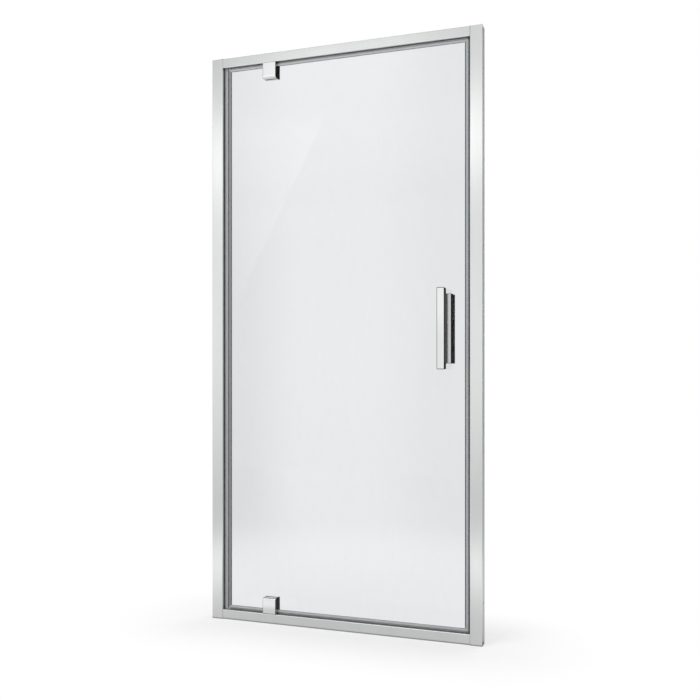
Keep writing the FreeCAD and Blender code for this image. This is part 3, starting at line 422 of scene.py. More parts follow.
rubber_finish = moulded_plastic("moulded_epdm_rubber", "#2C2D2E", "#38393A", 0.62, 0.5, 0.03)
acetal_finish = moulded_plastic("machined_white_acetal", "#E4E2DA", "#EDEBE4", 0.38, 0.7, 0.01)
magnet_finish = moulded_plastic("pressed_ferrite_magnet", "#151516", "#222223", 0.5, 0.35, 0.02)
print("plastics:", rubber_finish.name, acetal_finish.name, magnet_finish.name)

# %% [markdown]
# ## Metals inside the pivots
#
# The bearing housings are raw zinc castings, dull with a fine cast skin. The pivot cores
# are machined brass, a little tarnished, and the screws and pins are turned stainless
# steel, which keeps rings so fine that they show only as a soft sheen.

# %% Cast zinc, machined brass and turned stainless steel


def worked_metal(name, dark, pale, smooth, rough, mark, depth_mm):
    material, tree, shader, place = new_finish(name, Metallic=1.0)
    marks = grain(tree, place, mark)
    paint(tree, shader, grain(tree, place, (8, 8, 8), 4.0), dark, pale)
    vary_gloss(tree, shader, marks, smooth, rough)
    emboss(tree, shader, marks, depth_mm, 0.5)
    return material


zinc_finish = worked_metal("raw_cast_zinc", "#75787B", "#8D9093", 0.42, 0.6, (0.9, 0.9, 0.9), 0.05)
brass_finish = worked_metal("machined_brass", "#B08D4C", "#CDAC67", 0.2, 0.36, (6, 6, 0.4), 0.02)
steel_finish = worked_metal("turned_stainless_steel", "#B4B5B6", "#C6C6C7", 0.18, 0.34, (0.4, 0.4, 4), 0.01)
print("inner metals:", zinc_finish.name, brass_finish.name, steel_finish.name)

# %% [markdown]
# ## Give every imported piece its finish
#
# The record names a material slot for each node, and one table turns slots into the finishes
# above. A second, short table names the nodes that differ from their slot: the rails, whose
# die lines run level, and the handle.

# %% From slot to finish
FINISH_OF_SLOT = {
    "polished_aluminium": post_finish, "mill_aluminium": mill_finish, "chromed_metal": chrome_finish,
    "stainless_steel": steel_finish, "clear_glass": glass_finish, "translucent_seal": upright_pvc,
    "gasket": rubber_finish, "magnet": magnet_finish, "acetal": acetal_finish,
    "zinc_casting": zinc_finish, "brass": brass_finish,
}
FINISH_OF_NODE = {
    "head_rail": head_finish, "sill_rail": sill_finish, "grip_bar": grip_finish,
    "handle_outer_block": block_finish, "handle_inner_block": block_finish,
}
slot_of = {part["node"]: part["material_slot"] for part in frame["record"]["subparts"]}
for name, thing in frame["nodes"].items():
    thing.data.materials.clear()
    thing.data.materials.append(FINISH_OF_NODE.get(name) or FINISH_OF_SLOT[slot_of[name]])
print("finishes given to", len(frame["nodes"]), "nodes")

# %% [markdown]
# ## Picking by place
#
# With no mouse at hand, vertices, edges and faces are picked by where they lie or which way
# they look. Each operator acts on all that is selected, so a pick always starts from nothing.

# %% Pick by place
REACH = 0.05


def near(value, goal, reach=REACH):
    return abs(value - goal) < reach


def middle(part):
    """The middle of an edge or a face."""
    return sum((corner.co for corner in part.verts), Vector()) / len(part.verts)


def pick(kind, wanted):
    """In edit mode, selects just the VERT, EDGE or FACE elements for which wanted is true."""
    bpy.ops.mesh.select_mode(type=kind)
    bpy.ops.mesh.select_all(action="DESELECT")
    mesh = bmesh.from_edit_mesh(bpy.context.object.data)
    parts = {"VERT": mesh.verts, "EDGE": mesh.edges, "FACE": mesh.faces}[kind]
    for part in parts:
        if wanted(part):
            part.select_set(True)
    mesh.select_flush_mode()
    bmesh.update_edit_mesh(bpy.context.object.data)
    return sum(part.select for part in parts)


def pick_along(axis, wanted):
    """Picks the edges that run along the axis and whose place (mm) is wanted."""
    number = "XYZ".index(axis)

    def test(edge):
        run = edge.verts[1].co - edge.verts[0].co
        return abs(run[number]) > 0.9 * run.length and wanted(middle(edge) / MM)
    return pick("EDGE", test)


print("picks are made within", REACH, "mm")

# %% [markdown]
# ## A section and its run
#
# A seal is one outline pushed along a line. So a grid is added, its lines are moved to the
# places of the walls, the cells that are empty in the real outline are deleted, and the
# rest is extruded along the run. This is how one would do it by hand: the walls stay where
# the numbers say, and every edge can then be picked by its place and rounded.

# %% Draw a section and push it along


def start_section(name, axes, first, second, empty):
    """A flat outline of cells between the lines first and second (mm), on those two axes.
    empty holds the cells that are left out, as (column, row) counted from the low corner."""
    bpy.ops.object.select_all(action="DESELECT")
    turn = (0, 0, 0) if axes == "XY" else (math.pi / 2, 0, math.pi / 2)
    bpy.ops.mesh.primitive_grid_add(x_subdivisions=len(first) - 1, y_subdivisions=len(second) - 1, size=1,
                                    rotation=turn)
    piece = bpy.context.object
    piece.name = piece.data.name = name
    bpy.ops.object.transform_apply(location=False, rotation=True, scale=False)
    along = ["XYZ".index(letter) for letter in axes]
    lines = []
    for axis, places in zip(along, (first, second)):
        step = 1 / (len(places) - 1)
        for number, goal in enumerate(places):
            at = number * step - 0.5
            members = {corner.index for corner in piece.data.vertices if abs(corner.co[axis] - at) < step / 4}
            lines.append((axis, members, goal * MM - at))
    bpy.ops.object.mode_set(mode="EDIT")
    for axis, members, shift in lines:
        pick("VERT", lambda corner: corner.index in members)
        way = [0, 0, 0]
        way[axis] = shift
        bpy.ops.transform.translate(value=way)

    def left_out(face):
        at = middle(face) / MM
        column = sum(at[along[0]] > line for line in first) - 1
        row = sum(at[along[1]] > line for line in second) - 1
        return (column, row) in empty

    if pick("FACE", left_out):
        bpy.ops.mesh.delete(type="FACE")
    return piece


def run_along(axis, start, end):
    """Pushes the outline from start to end (mm) along the axis, into a closed bar."""
    number = "XYZ".index(axis)
    here, there = [0, 0, 0], [0, 0, 0]
    here[number], there[number] = start * MM, (end - start) * MM
    bpy.ops.mesh.select_all(action="SELECT")
    bpy.ops.transform.translate(value=here)
    bpy.ops.mesh.extrude_region_move(TRANSFORM_OT_translate={"value": there})
    bpy.ops.mesh.select_all(action="SELECT")
    bpy.ops.mesh.normals_make_consistent(inside=False)


print("sections are drawn in millimetres")

# %% [markdown]
# ## Roundings, mitres and the last steps
#
# A long edge is softened with a bevel, and a corner of the leaf is cut with a plane, as a
# mitre saw would. A finished piece gets smooth shading on its roundings, its material, and
# the body that it moves with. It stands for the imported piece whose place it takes.

# %% Round, cut and finish


def soften(axis, radius, wanted, segments=3):
    """Rounds the long edges whose place is wanted."""
    if pick_along(axis, wanted):
        bpy.ops.mesh.bevel(offset=radius * MM, segments=segments, affect="EDGES")


def mitre(place, normal):
    """Cuts the bar at a slant through a place (mm). What lies towards the normal falls away."""
    bpy.ops.mesh.select_all(action="SELECT")
    bpy.ops.mesh.bisect(plane_co=[number * MM for number in place], plane_no=normal, use_fill=True,
                        clear_outer=True)


def finish_piece(piece, body, slot, material, *stands_for):
    """Ends the modelling, smooths the roundings and hangs the piece on its body."""
    bpy.ops.mesh.select_all(action="SELECT")
    bpy.ops.mesh.normals_make_consistent(inside=False)
    bpy.ops.object.mode_set(mode="OBJECT")
    bpy.ops.object.shade_smooth_by_angle(angle=math.radians(35))
    piece.data.materials.clear()
    piece.data.materials.append(material)
    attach(piece, body)
    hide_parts(*stands_for)
    print(piece.name, len(piece.data.polygons), "faces")


def second_finish(piece, material, wanted):
    """Gives a second material to the faces whose middle (mm) is wanted."""
    piece.data.materials.append(material)
    bpy.ops.object.mode_set(mode="EDIT")
    pick("FACE", lambda face: wanted(middle(face) / MM))
    piece.active_material_index = 1
    bpy.ops.object.material_slot_assign()
    bpy.ops.object.mode_set(mode="OBJECT")


print("ready to model")

# %% [markdown]
# ## Sizes for the seals
#
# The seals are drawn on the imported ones: their corners come from the boxes of the nodes,
# so that they stay in their grooves and keep their running gaps. Arms are 1.3 mm thick,
# the back over the glass's edge 1.6 mm, and the soft fins 0.9 mm. The arms stay a hair off
# the glass, because two faces in one place would show as noise, and a magnet has a little
# play in its tube. Outer corners are well rounded, and the tips of fins and lips just
# enough to catch the light.

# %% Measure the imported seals


def span(name):
    """Lowest and highest corner of a node, in millimetres."""
    low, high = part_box(name)
    return [round(number / MM, 2) for number in low], [round(number / MM, 2) for number in high]


(glass_left, _, glass_low), (glass_right, _, glass_high) = span("glass_pane")
(wiper_tip, seal_front, leaf_low), (hinge_lip, seal_rear, leaf_high) = span("hinge_edge_seal")
(strike_lip, _, _), (strike_back, _, _) = span("strike_edge_seal")
(_, _, sweep_tip), (pivot_left, drip_tip, sill_lip) = span("bottom_seal_left")
(pivot_right, _, head_lip), (_, _, head_tip) = span("top_seal_right")
ARM, BACK, HALF_FIN = 1.3, 1.6, 0.45
OFF_GLASS, PLAY = 0.02, 0.05
CORNER_ROUND, TIP_ROUND = 0.9, 0.3
hinge_back = glass_left - BACK
arm_inside = seal_rear - ARM + OFF_GLASS
rows = [seal_front, -arm_inside, -HALF_FIN, HALF_FIN, arm_inside, seal_rear]
print("leaf seals from", hinge_back, "to", strike_back, "and", leaf_low, "to", leaf_high)

# %% [markdown]
# ## Seal on the short edge of the leaf
#
# A clip of soft PVC holds the glass between two arms, and a thin fin on its back wipes the
# gasket on the post. The ends are cut to a mitre, like a picture frame, so that the level
# seals meet it without a step. The outer corners of the arms are rounded, and that rounding
# is what draws the pale line along the seal.

# %% Short-edge seal
WIPER_ROUND = 0.4
short_across, level_across = hinge_lip - hinge_back, leaf_high - head_lip
short_seal = start_section("short_edge_seal", "XY", [wiper_tip, hinge_back, glass_left, hinge_lip], rows,
                           {(0, 0), (0, 1), (0, 3), (0, 4), (2, 1), (2, 2), (2, 3)})
run_along("Z", leaf_low, leaf_high)
soften("Z", CORNER_ROUND, lambda at: near(abs(at.y), seal_rear))
soften("Z", WIPER_ROUND, lambda at: near(at.x, wiper_tip))
mitre((hinge_back, 0, leaf_high), (level_across, 0, short_across))
mitre((hinge_back, 0, leaf_low), (level_across, 0, -short_across))
finish_piece(short_seal, "leaf", "translucent_seal", wiper_pvc, "hinge_edge_seal")

# %% [markdown]
# ## Magnetic seal on the closing edge
#
# The same clip, with a square tube on its back in which the magnet strip slides. The tube's
# wall is 0.8 mm, so it is a cell of the section that is left empty. The tips of the arms are
# of a softer, darker grade that leaves the die together with the rest, and they get thinner
# towards the glass, so that water does not stand on them.

# %% Closing-edge seal
SOFT_TIP, TIP_THINNING, TUBE_ROUND = 3.0, 0.6, 0.7
(magnet_left, magnet_front, _), (magnet_right, magnet_rear, _) = span("strike_edge_magnet")
closing_seal = start_section(
    "closing_edge_seal", "XY",
    [strike_lip, strike_lip + SOFT_TIP, glass_right, magnet_left - PLAY, magnet_right + PLAY, strike_back],
    [seal_front, magnet_front - PLAY, magnet_rear + PLAY, seal_rear], {(0, 1), (1, 1), (3, 1)})
run_along("Z", leaf_low, leaf_high)
for side in (-1, 1):
    pick("VERT", lambda corner: near(corner.co.x / MM, strike_lip) and near(corner.co.y / MM, side * seal_rear))
    bpy.ops.transform.translate(value=(0, -side * TIP_THINNING * MM, 0))
soften("Z", TUBE_ROUND, lambda at: near(abs(at.y), seal_rear) and near(at.x, strike_back))
closing_across = strike_back - strike_lip
mitre((strike_back, 0, leaf_high), (-level_across, 0, closing_across))
mitre((strike_back, 0, leaf_low), (-level_across, 0, -closing_across))
finish_piece(closing_seal, "leaf", "translucent_seal", upright_pvc, "strike_edge_seal")
second_finish(closing_seal, lip_pvc, lambda at: at.x < strike_lip + SOFT_TIP - REACH)

# %% [markdown]
# ## Level seals along the top and the bottom
#
# The top seal is the clip of the short edge, lying level, and its fin stands up to close
# the gap to the head rail. Like the bottom one it comes in two lengths, left and right of
# the pivot block, with a mitre at the corner of the leaf. One could model all four by hand.
# Here the steps for one length are written down once, and are run for each.

# %% Top seal, one length


def top_seal(side, left, right, corner_at, slant):
    """From left to right (mm), cut at the leaf's corner. slant is the cut's way along X and Z."""
    piece = start_section(f"top_seal_{side}_run", "YZ", rows, [head_lip, glass_high, leaf_high, head_tip],
                          {(0, 2), (1, 2), (3, 2), (4, 2), (1, 0), (2, 0), (3, 0)})
    run_along("X", left, right)
    soften("X", CORNER_ROUND, lambda at: near(abs(at.y), seal_rear))
    soften("X", TIP_ROUND, lambda at: near(at.z, head_tip))
    mitre((corner_at, 0, leaf_high), (slant[0], 0, -slant[1]))
    finish_piece(piece, "leaf", "translucent_seal", level_pvc, f"top_seal_{side}")


print("the top seal's fin reaches", round(head_tip - leaf_high, 2), "mm over the leaf")

# %% [markdown]
# The bottom seal has a fin that sweeps the sill, and behind it a drip lip that leads water
# back into the shower. The lip grows out of the rear arm: a strip of faces there is extruded
# outwards and down, and its tip is then drawn a little lower, so that drops run off it.

# %% Bottom seal, one length
DRIP_ROOT, DRIP_FALL, DRIP_TIP_FALL = 1.35, 2.6, 0.45


def bottom_seal(side, left, right, corner_at, slant):
    """The same for the bottom, where the cut leans the other way."""
    piece = start_section(
        f"bottom_seal_{side}_run", "YZ", rows, [sweep_tip, leaf_low, leaf_low + DRIP_ROOT, glass_low, sill_lip],
        {(0, 0), (1, 0), (3, 0), (4, 0), (1, 3), (2, 3), (3, 3)})
    run_along("X", left, right)
    pick("FACE", lambda face: face.normal.y > 0.9 and near(middle(face).y / MM, seal_rear)
         and leaf_low < middle(face).z / MM < leaf_low + DRIP_ROOT)
    bpy.ops.mesh.extrude_region_move(
        TRANSFORM_OT_translate={"value": (0, (drip_tip - seal_rear) * MM, -DRIP_FALL * MM)})
    pick("VERT", lambda corner: near(corner.co.y / MM, drip_tip) and corner.co.z / MM > leaf_low - 2)
    bpy.ops.transform.translate(value=(0, 0, -DRIP_TIP_FALL * MM))
    soften("X", TIP_ROUND, lambda at: near(at.y, drip_tip))
    soften("X", CORNER_ROUND, lambda at: near(at.y, seal_front) or (near(at.y, seal_rear) and near(at.z, sill_lip)))
    soften("X", TIP_ROUND, lambda at: near(at.z, sweep_tip))
    mitre((corner_at, 0, leaf_low), (slant[0], 0, slant[1]))
    finish_piece(piece, "leaf", "translucent_seal", level_pvc, f"bottom_seal_{side}")


print("the drip lip stands out by", round(drip_tip - seal_rear, 2), "mm")

# %% [markdown]
# Both seals are now made left and right of the pivot block. The slant of each cut comes from
# the widths of the two seals that meet there, so the upright seal's mitre lies against it.

# %% Left and right lengths of both
for side, left, right, corner_at, slant in (
        ("left", hinge_back, pivot_left, hinge_back, (-level_across, short_across)),
        ("right", pivot_right, strike_back, strike_back, (level_across, closing_across))):
    top_seal(side, left, right, corner_at, slant)
    bottom_seal(side, left, right, corner_at, slant)

# %% [markdown]
# ## Gasket on the pivot post
#
# A hollow bulb on a plate that snaps into the post's groove. The leaf's fin presses on the
# bulb, so it is a thin-walled arch: a cylinder cut in half lengthways would be a start, but
# the section with its corners well rounded gives the flat cheeks that the photo shows. The
# plate is of the dark grade, the bulb of the pale one.

# %% Post gasket
(gasket_foot, plate_front, post_low), (bulb_tip, plate_rear, post_high) = span("hinge_gasket")
_, (left_face, _, _) = span("jamb_left")
PLATE, WALL, NECK, CHEEK, FOOT, SNAP = 1.8, 1.1, 2.9, 4.0, 4.4, 1.5
BULB_ROUND, BORE_ROUND, EDGE_ROUND = 1.9, 0.9, 0.5
gasket = start_section(
    "post_gasket", "XY",
    [gasket_foot, left_face - SNAP, left_face, left_face + PLATE, bulb_tip - WALL, bulb_tip],
    [plate_front, -FOOT, -CHEEK, -NECK, NECK, CHEEK, FOOT, plate_rear],
    {(0, 0), (0, 6), (1, 0), (1, 1), (1, 2), (1, 4), (1, 5), (1, 6),
     (3, 0), (3, 1), (3, 5), (3, 6), (3, 3), (4, 0), (4, 1), (4, 5), (4, 6)})
run_along("Z", post_low, post_high)
soften("Z", BULB_ROUND, lambda at: near(at.x, bulb_tip) and near(abs(at.y), CHEEK), 5)
soften("Z", BORE_ROUND, lambda at: near(at.x, bulb_tip - WALL) and near(abs(at.y), NECK), 4)
soften("Z", EDGE_ROUND, lambda at: near(abs(at.y), plate_rear))
finish_piece(gasket, "frame", "translucent_seal", gasket_pvc, "hinge_gasket")
second_finish(gasket, lip_pvc, lambda at: at.x < left_face + PLATE + REACH)

# %% [markdown]
# ## Strike strip on the closing post
#
# The magnet of the leaf is met by a second magnet in this strip, and a lip behind the leaf
# stops it. It is the gasket's relative: plate, foot, magnet tube, and the stop lip. The
# tube's wall is 0.8 mm, and it is all of the dark grade.

# %% Strike strip
(stop_tip, _, _), (strike_foot, stop_rear, _) = span("strike_strip")
(core_left, core_front, _), (_, core_rear, _) = span("strike_magnet")
(right_face, _, _), _ = span("jamb_right")
TUBE_WALL, STOP_LIP, PLATE_EDGE, NOSE_ROUND = 0.8, 1.5, 6.0, 0.6
plate_face, nose = right_face - PLATE, core_left - PLAY - TUBE_WALL
stop_front, cheek = stop_rear - STOP_LIP, core_rear + PLAY + TUBE_WALL
strip = start_section(
    "strike_strip_run", "XY",
    [stop_tip, nose, core_left - PLAY, plate_face, right_face, right_face + SNAP, strike_foot],
    [-PLATE_EDGE, -FOOT, -cheek, core_front - PLAY, core_rear + PLAY, cheek, FOOT, stop_front, PLATE_EDGE,
     stop_rear],
    {(0, row) for row in range(7)} | {(1, 0), (1, 1), (2, 0), (2, 1), (2, 3), (1, 5), (2, 5), (1, 6), (2, 6)}
    | {(4, 0), (4, 1), (4, 2), (4, 5), (4, 6), (4, 7), (4, 8), (5, 0), (5, 6), (5, 7), (5, 8)})
run_along("Z", post_low, post_high)
soften("Z", NOSE_ROUND, lambda at: near(at.x, nose) and near(abs(at.y), cheek))
soften("Z", EDGE_ROUND, lambda at: near(at.x, stop_tip))
finish_piece(strip, "frame", "translucent_seal", lip_pvc, "strike_strip")

# %% [markdown]
# ## Rubber pads between metal and glass
#
# Metal never touches toughened glass. A millimetre of rubber lies under each pivot block
# and handle block, and where the screws squeeze it, its rim swells out a little. Each pad
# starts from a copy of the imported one, because that has the cut-out and the screw holes in
# their places. Its loose triangles are merged and dissolved into clean faces first.

# %% Pads with a swollen rim
RIM, SWELL, RIM_REACH = 0.3, 0.18, 0.6


def squeezed_pad(node_name):
    bpy.ops.object.select_all(action="DESELECT")
    pad = bpy.data.objects.new(f"{node_name}_pad", frame["nodes"][node_name].data.copy())
    bpy.context.collection.objects.link(pad)
    bpy.context.view_layer.objects.active = pad
    pad.select_set(True)
    bpy.ops.object.mode_set(mode="EDIT")
    bpy.ops.mesh.select_all(action="SELECT")
    bpy.ops.mesh.remove_doubles(threshold=0.00001)
    bpy.ops.mesh.dissolve_limited(angle_limit=math.radians(1))
    low, high = span(node_name)

    def on_rim(face):
        at = middle(face) / MM
        flat = abs(face.normal.y) < 0.1 and max(abs(face.normal.x), abs(face.normal.z)) > 0.999
        return flat and any(near(at[axis], end[axis], RIM_REACH) for axis in (0, 2) for end in (low, high))
    pick("FACE", on_rim)
    bpy.ops.mesh.inset(thickness=RIM * MM, depth=SWELL * MM, use_individual=True)
    finish_piece(pad, "leaf", "gasket", rubber_finish, node_name)


for metal in ("handle", "bottom_pivot", "top_pivot"):
    for side in ("outer", "inner"):
        squeezed_pad(f"{metal}_{side}_gasket")

# %% [markdown]
# ## Grip bar
#
# The bar is a casting that was ground flat and then polished on a soft wheel, which rounds
# its edges by about 2 mm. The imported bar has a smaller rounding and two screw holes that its
# block hides. On mirror-bright metal the rounding is all one sees of an edge, so the bar is
# made again with the full one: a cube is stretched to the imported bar's box and bevelled. The
# weighted normals keep its flat faces flat in the reflections.

# %% Bar with wheel-polished edges
WHEEL_ROUNDING = 2.2
low, high = span("grip_bar")
bpy.ops.object.select_all(action="DESELECT")
bpy.ops.mesh.primitive_cube_add(size=MM)
bar = bpy.context.object
bar.name = bar.data.name = "polished_grip_bar"
bpy.ops.object.mode_set(mode="EDIT")
bpy.ops.mesh.select_all(action="SELECT")
bpy.ops.transform.resize(value=[end - start for start, end in zip(low, high)])
bpy.ops.transform.translate(value=[(start + end) / 2 * MM for start, end in zip(low, high)])
bpy.ops.mesh.bevel(offset=WHEEL_ROUNDING * MM, segments=5, affect="EDGES")
finish_piece(bar, "leaf", "chromed_metal", grip_finish, "grip_bar")
bpy.ops.object.modifier_add(type="WEIGHTED_NORMAL")
bpy.ops.object.modifier_apply(modifier=bar.modifiers[0].name)

# %% [markdown]
# ## Studio: page and soft fill
#
# Polished metal shows nothing but its surroundings, so the studio is half of its finish. A
# plain white room lights the door softly: white where it is looked at, and a little darker
# for the light that it sheds, so that the shadows on the white seals stay clear.

# %% White page and soft fill
FILL = 0.62
WHITE = tone("#FFFFFF")


def bare_material(name):
    material = bpy.data.materials.new(name)
    material.use_nodes = True
    material.node_tree.nodes.clear()
    return material, material.node_tree


def sees_backdrop(tree):
    """1 for what the camera sees, directly or by way of metal or glass. 0 for soft light."""
    path = node(tree, "LightPath").outputs
    direct = node(tree, "Math", {"operation": "MAXIMUM"}, i0=path["Is Camera Ray"], i1=path["Is Glossy Ray"])
    return node(tree, "Math", {"operation": "MAXIMUM"}, i0=direct, i1=path["Is Transmission Ray"])


world = bpy.data.worlds.new("studio")
bpy.context.scene.world = world
world.use_nodes = True
tree = world.node_tree
tree.nodes.clear()
page = node(tree, "Background", None, Color=WHITE, Strength=1.0)
fill = node(tree, "Background", None, Color=WHITE, Strength=FILL)
both = node(tree, "MixShader", None, i0=sees_backdrop(tree), i1=fill, i2=page)
node(tree, "OutputWorld", None, Surface=both)
print("world ready, with a fill of", FILL)

# %% [markdown]
# ## Floor, as the eye sees it
#
# The floor keeps the door's soft shadow. Half of what the camera sees of it is paper white
# at the door, and all of it from 0.4 m on, so the floor melts into the page. Seen through
# the pane it is nearly all white, with two long and very pale shadows across it.

# %% Floor for the eye
DOOR_HALF = 0.45
THROUGH_GLASS = 0.95
floor_finish, tree = bare_material("studio_floor")
place = node(tree, "TexCoord").outputs["Object"]
at = node(tree, "SeparateXYZ", None, Vector=place).outputs
aside = node(tree, "Math", {"operation": "ABSOLUTE"}, i0=at["X"])
beside = node(tree, "Math", {"operation": "MAXIMUM"}, i0=total(tree, aside, -DOOR_HALF), i1=0.0)
spot = node(tree, "CombineXYZ", None, X=beside, Y=at["Y"])
from_door = node(tree, "VectorMath", {"operation": "LENGTH"}, i0=spot).outputs["Value"]
behind_glass = node(tree, "LightPath").outputs["Is Transmission Ray"]
deeper = profile(tree, at["Y"], (0.3, 0), (1.7, 1), ease="LINEAR")
shades = []
for slope, start, end, depth in ((0.46, 0.0, -0.5, 0.14), (0.33, 0.07, 0.65, 0.07)):
    across = total(tree, at["X"], product(tree, at["Y"], slope))
    shades.append(product(tree, profile(tree, across, (start, 0), (end, depth)), deeper))
shade = product(tree, behind_glass, total(tree, *shades))
lit = node(tree, "BsdfDiffuse", None, Color=WHITE)
brightness = node(tree, "Math", {"operation": "SUBTRACT"}, i0=1.0, i1=shade)
white = node(tree, "Emission", None, Color=WHITE, Strength=brightness)
share = product(tree, sees_backdrop(tree), profile(tree, from_door, (0.05, 0.5), (0.38, 1)))
share = node(tree, "Math", {"operation": "MAXIMUM"}, i0=share, i1=product(tree, behind_glass, THROUGH_GLASS))
seen = node(tree, "MixShader", None, i0=share, i1=lit, i2=white)
print("floor ready for the eye")

# %% [markdown]
# ## Floor, as the metal mirrors it
#
# In the metal the floor shows a painted pool of light around the door and greyer paper further
# out. A painted dark patch lies behind the door and a painted white one before the bottom pivot,
# and the line right under the sill is a painted shadow, dark as it is under a real door. What is
# mirrored twice, in the corner between two pieces, is painted darker.

# %% Floor for the metal


def mirrored(tree, times=1):
    """1 for what is seen in that many reflections, one after the other."""
    depth = node(tree, "LightPath").outputs["Glossy Depth"]
    return node(tree, "Math", {"operation": "GREATER_THAN"}, i0=depth, i1=times - 0.5)


def patch(tree, value, centre, half, fade, level=1.0):
    """The level within half of the centre and 0 outside, with soft edges of width fade."""
    inner, outer = half - fade / 2, half + fade / 2
    return profile(tree, value, (centre - outer, 0), (centre - inner, level), (centre + inner, level),
                   (centre + outer, 0))


away = node(tree, "VectorMath", {"operation": "LENGTH"}, i0=place).outputs["Value"]
pool = profile(tree, away, (0.3, 0.70), (1.1, 1.14), (1.2, 1.14), (2.0, 0.72), (3.0, 0.72), (4.6, 0.82))
off_door = node(tree, "Math", {"operation": "ABSOLUTE"}, i0=at["Y"])
# painted shadow on the line right under the sill
under_sill = profile(tree, off_door, (0.02, 0.3), (0.035, 1))
# painted white patch before the bottom pivot
painted_white_patch = product(tree, patch(tree, at["X"], -0.35, 0.08, 0.05), patch(tree, at["Y"], -0.24, 0.05, 0.08, 0.25))
level = total(tree, product(tree, pool, under_sill), painted_white_patch)
# painted dark patch behind the door
painted_dark_patch = product(tree, profile(tree, at["Y"], (0.04, 0), (0.08, 1), ease="LINEAR"),
                    profile(tree, at["Y"], (0.3, 1), (0.9, 0)), profile(tree, aside, (0.3, 1), (0.45, 0)))
# what is mirrored twice is painted darker
level = product(tree, level, profile(tree, painted_dark_patch, (0, 1), (1, 0.06), ease="LINEAR"),
                profile(tree, mirrored(tree, 2), (0, 1), (1, 0.35), ease="LINEAR"))
pooled = node(tree, "Emission", None, Color=WHITE, Strength=level)
ground = node(tree, "MixShader", None, i0=mirrored(tree), i1=seen, i2=pooled)
node(tree, "OutputMaterial", None, Surface=ground)
bpy.ops.object.select_all(action="DESELECT")
bpy.ops.mesh.primitive_circle_add(vertices=64, radius=30, fill_type="NGON", location=(0, 0, 0))
floor = bpy.context.object
floor.name = "studio_floor"
floor.data.materials.append(floor_finish)
floor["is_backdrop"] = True
print("floor ready for the metal")

# %% [markdown]
# ## Paper tent: walls and lights
#
# For reflections there is a tent of paper around the door, which only metal and glass see.
# Its walls are pale and a little darker low down. One strip of light runs round them at
# 2.65 m, a lit ceiling panel hangs in front, and a few cards on the front wall give the
# head rail, the left post and the grip bar their tones.

# %% Tent: what is bright
STRIP_HEIGHT = 2.65
WINDOW_LEAN = 0.539
tent_finish, tree = bare_material("studio_tent")
at = node(tree, "SeparateXYZ", None, Vector=node(tree, "TexCoord").outputs["Object"]).outputs
front_wall = profile(tree, at["Y"], (-3.95, 1), (-3.9, 0), ease="LINEAR")
base = profile(tree, at["Z"], (0, 0.87), (1, 1.03), (1.3, 1.03), (1.9, 0.95))
strip_light = product(tree, patch(tree, at["Z"], STRIP_HEIGHT, 0.27, 0.36),
                      profile(tree, at["X"], (-2.6, 0.38), (-0.4, 0.52), ease="LINEAR"))
upper = product(tree, profile(tree, at["Z"], (2.8, 0), (3.35, 1)),
                profile(tree, at["X"], (-2.6, -0.22), (-0.4, -0.09), ease="LINEAR"))
header_card = product(tree, patch(tree, at["X"], -1.5, 0.75, 0.7), patch(tree, at["Z"], 3.45, 0.4, 0.5, 0.3),
                      front_wall)
grip_card = product(tree, patch(tree, at["X"], -0.66, 0.13, 0.1), patch(tree, at["Z"], 0.92, 0.28, 0.3, -0.1),
                    front_wall)
slant = total(tree, at["X"], product(tree, at["Z"], -WINDOW_LEAN))
window = product(tree, profile(tree, slant, (-3.165, 1), (-3.135, 0), ease="LINEAR"),
                 profile(tree, at["X"], (-2.55, 0), (-2.2, 1)), profile(tree, at["Z"], (2.75, 0.36), (3.1, 0)),
                 front_wall)
ceiling = product(tree, profile(tree, at["Z"], (4.35, 0), (4.38, 2.6), ease="LINEAR"),
                  patch(tree, at["Y"], -1.5, 0.75, 0.5))
walls = total(tree, base, strip_light, upper, window, header_card, grip_card)
walls = total(tree, product(tree, walls, profile(tree, at["Z"], (3.7, 1), (4.2, 0.55))), ceiling)
print("the strip of light is at", STRIP_HEIGHT, "m")

# %% [markdown]
# ## Paper tent: dark panels
#
# Polished metal looks like metal only when it also mirrors something dark. A panel on the
# right of the rear wall gives the handle and the pivots their dark sides, with a white card
# beside it, and two panels on the left, set by compass, darken the sides of the posts. What
# is mirrored twice is painted darker here too.

# %% Tent: what is dark, and the whole as metal mirrors it
DARK = 0.01
rear_wall = profile(tree, at["Y"], (3.9, 0), (3.95, 1), ease="LINEAR")
panel = product(tree, rear_wall, profile(tree, at["X"], (1.198, 0), (1.212, 1), ease="LINEAR"),
                profile(tree, at["X"], (1.9, 1), (3.4, 0)))
compass = node(tree, "Math", {"operation": "ARCTAN2"}, i0=at["X"], i1=at["Y"])
left_panels = total(tree, *(patch(tree, compass, math.radians(centre), math.radians(half), 0.03)
                            for centre, half in ((-110, 11), (-67, 15))))
dark = node(tree, "Math", {"operation": "MAXIMUM"}, i0=panel, i1=left_panels)
side_card = product(tree, patch(tree, at["X"], 0.75, 0.37, 0.04), rear_wall)
bright = total(tree, product(tree, walls, profile(tree, dark, (0, 1), (1, DARK), ease="LINEAR")), side_card)
# what is mirrored twice is painted darker
again = profile(tree, at["X"], (0.7, 0.35), (1.0, 0.1), ease="LINEAR")
bright = product(tree, bright, node(tree, "MapRange", None, Value=mirrored(tree, 2), i3=1.0, i4=again))
in_metal = node(tree, "Emission", None, Color=WHITE, Strength=bright)
print("dark panels keep", DARK, "of the light")

# %% [markdown]
# ## Paper tent: as the glass shows it
#
# Through the pane one sees the same walls by transmission, and there they must look like the
# page: white, with just the breath of grey that tells that there is glass, and a painted shade
# that is a little darker to the left, to the right and in a band at 2.6 m.

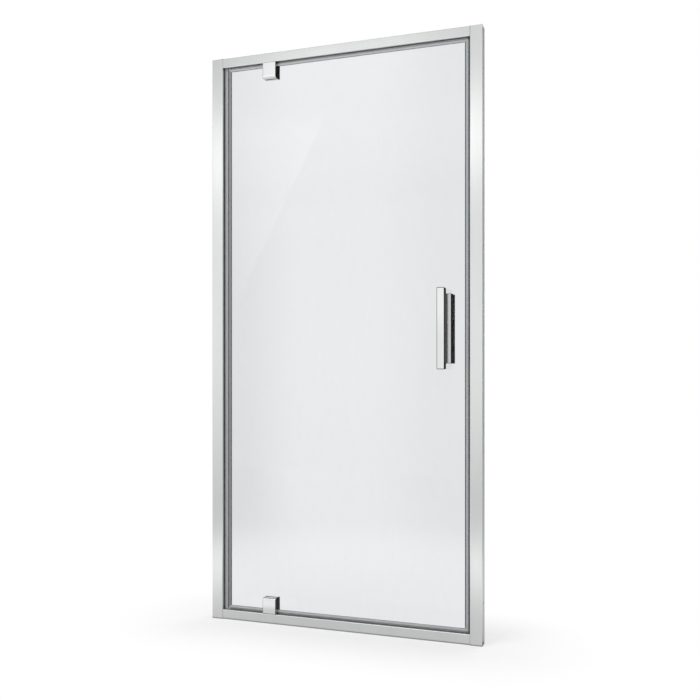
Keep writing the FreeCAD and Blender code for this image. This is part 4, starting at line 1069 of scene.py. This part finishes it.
# %% Tent: as the glass shows it, and the tent itself
# painted shade, as seen through the pane
left_side = product(tree, profile(tree, at["X"], (-2.45, -0.12), (-1.75, 0)),
                    profile(tree, at["Z"], (1.6, 1), (3.0, 0.5), ease="LINEAR"))
right_side = profile(tree, at["X"], (-1.25, 0), (-0.5, -0.06))
page_level = profile(tree, at["Z"], (1.4, 0.985), (3.0, 1.01))
through = total(tree, page_level, patch(tree, at["Z"], 2.6, 0.3, 0.5, -0.045), left_side, right_side)
in_glass = node(tree, "Emission", None, Color=WHITE, Strength=through)
tent_mix = node(tree, "MixShader", None, i0=mirrored(tree), i1=in_glass, i2=in_metal)
node(tree, "OutputMaterial", None, Surface=tent_mix)
bpy.ops.object.select_all(action="DESELECT")
bpy.ops.mesh.primitive_cube_add(size=8, location=(0, 0, 0.4))
tent = bpy.context.object
tent.name = "studio_tent"
bpy.ops.object.transform_apply(location=True, rotation=False, scale=False)
tent.data.materials.append(tent_finish)
tent.visible_camera = tent.visible_diffuse = tent.visible_shadow = False
tent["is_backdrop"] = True
print("tent ready")

# %% [markdown]
# ## Lamps
#
# A large soft lamp above the front left models the seals and lays the soft shadow, and a
# weaker one behind lights the inner side. Both are kept out of the reflections, where they
# would show as hard squares.

# %% Soft lamps
AIM = (0, 0, 0.9)
BOX_SIDE = 2.4


def soft_lamp(name, place, watts):
    lamp = bpy.data.lights.new(name, "AREA")
    lamp.shape = "RECTANGLE"
    lamp.size = lamp.size_y = BOX_SIDE
    lamp.energy = watts
    thing = bpy.data.objects.new(name, lamp)
    bpy.context.collection.objects.link(thing)
    thing.location = place
    thing.rotation_euler = (Vector(AIM) - Vector(place)).to_track_quat("-Z", "Y").to_euler()
    thing.visible_glossy = thing.visible_transmission = False
    print(name, watts, "W")


soft_lamp("front_softbox", (-1.6, -2.8, 3.0), 60)
soft_lamp("rear_softbox", (1.2, 2.8, 3.2), 30)
bpy.context.scene.view_settings.view_transform = "Standard"

# %% [markdown]
# ## The visual box
#
# The box of the dressed door, without the floor and the tent, is printed.

# %% Print the visual box
low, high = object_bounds()
print("visual box from", tuple(round(number, 4) for number in low), "to", tuple(round(number, 4) for number in high))
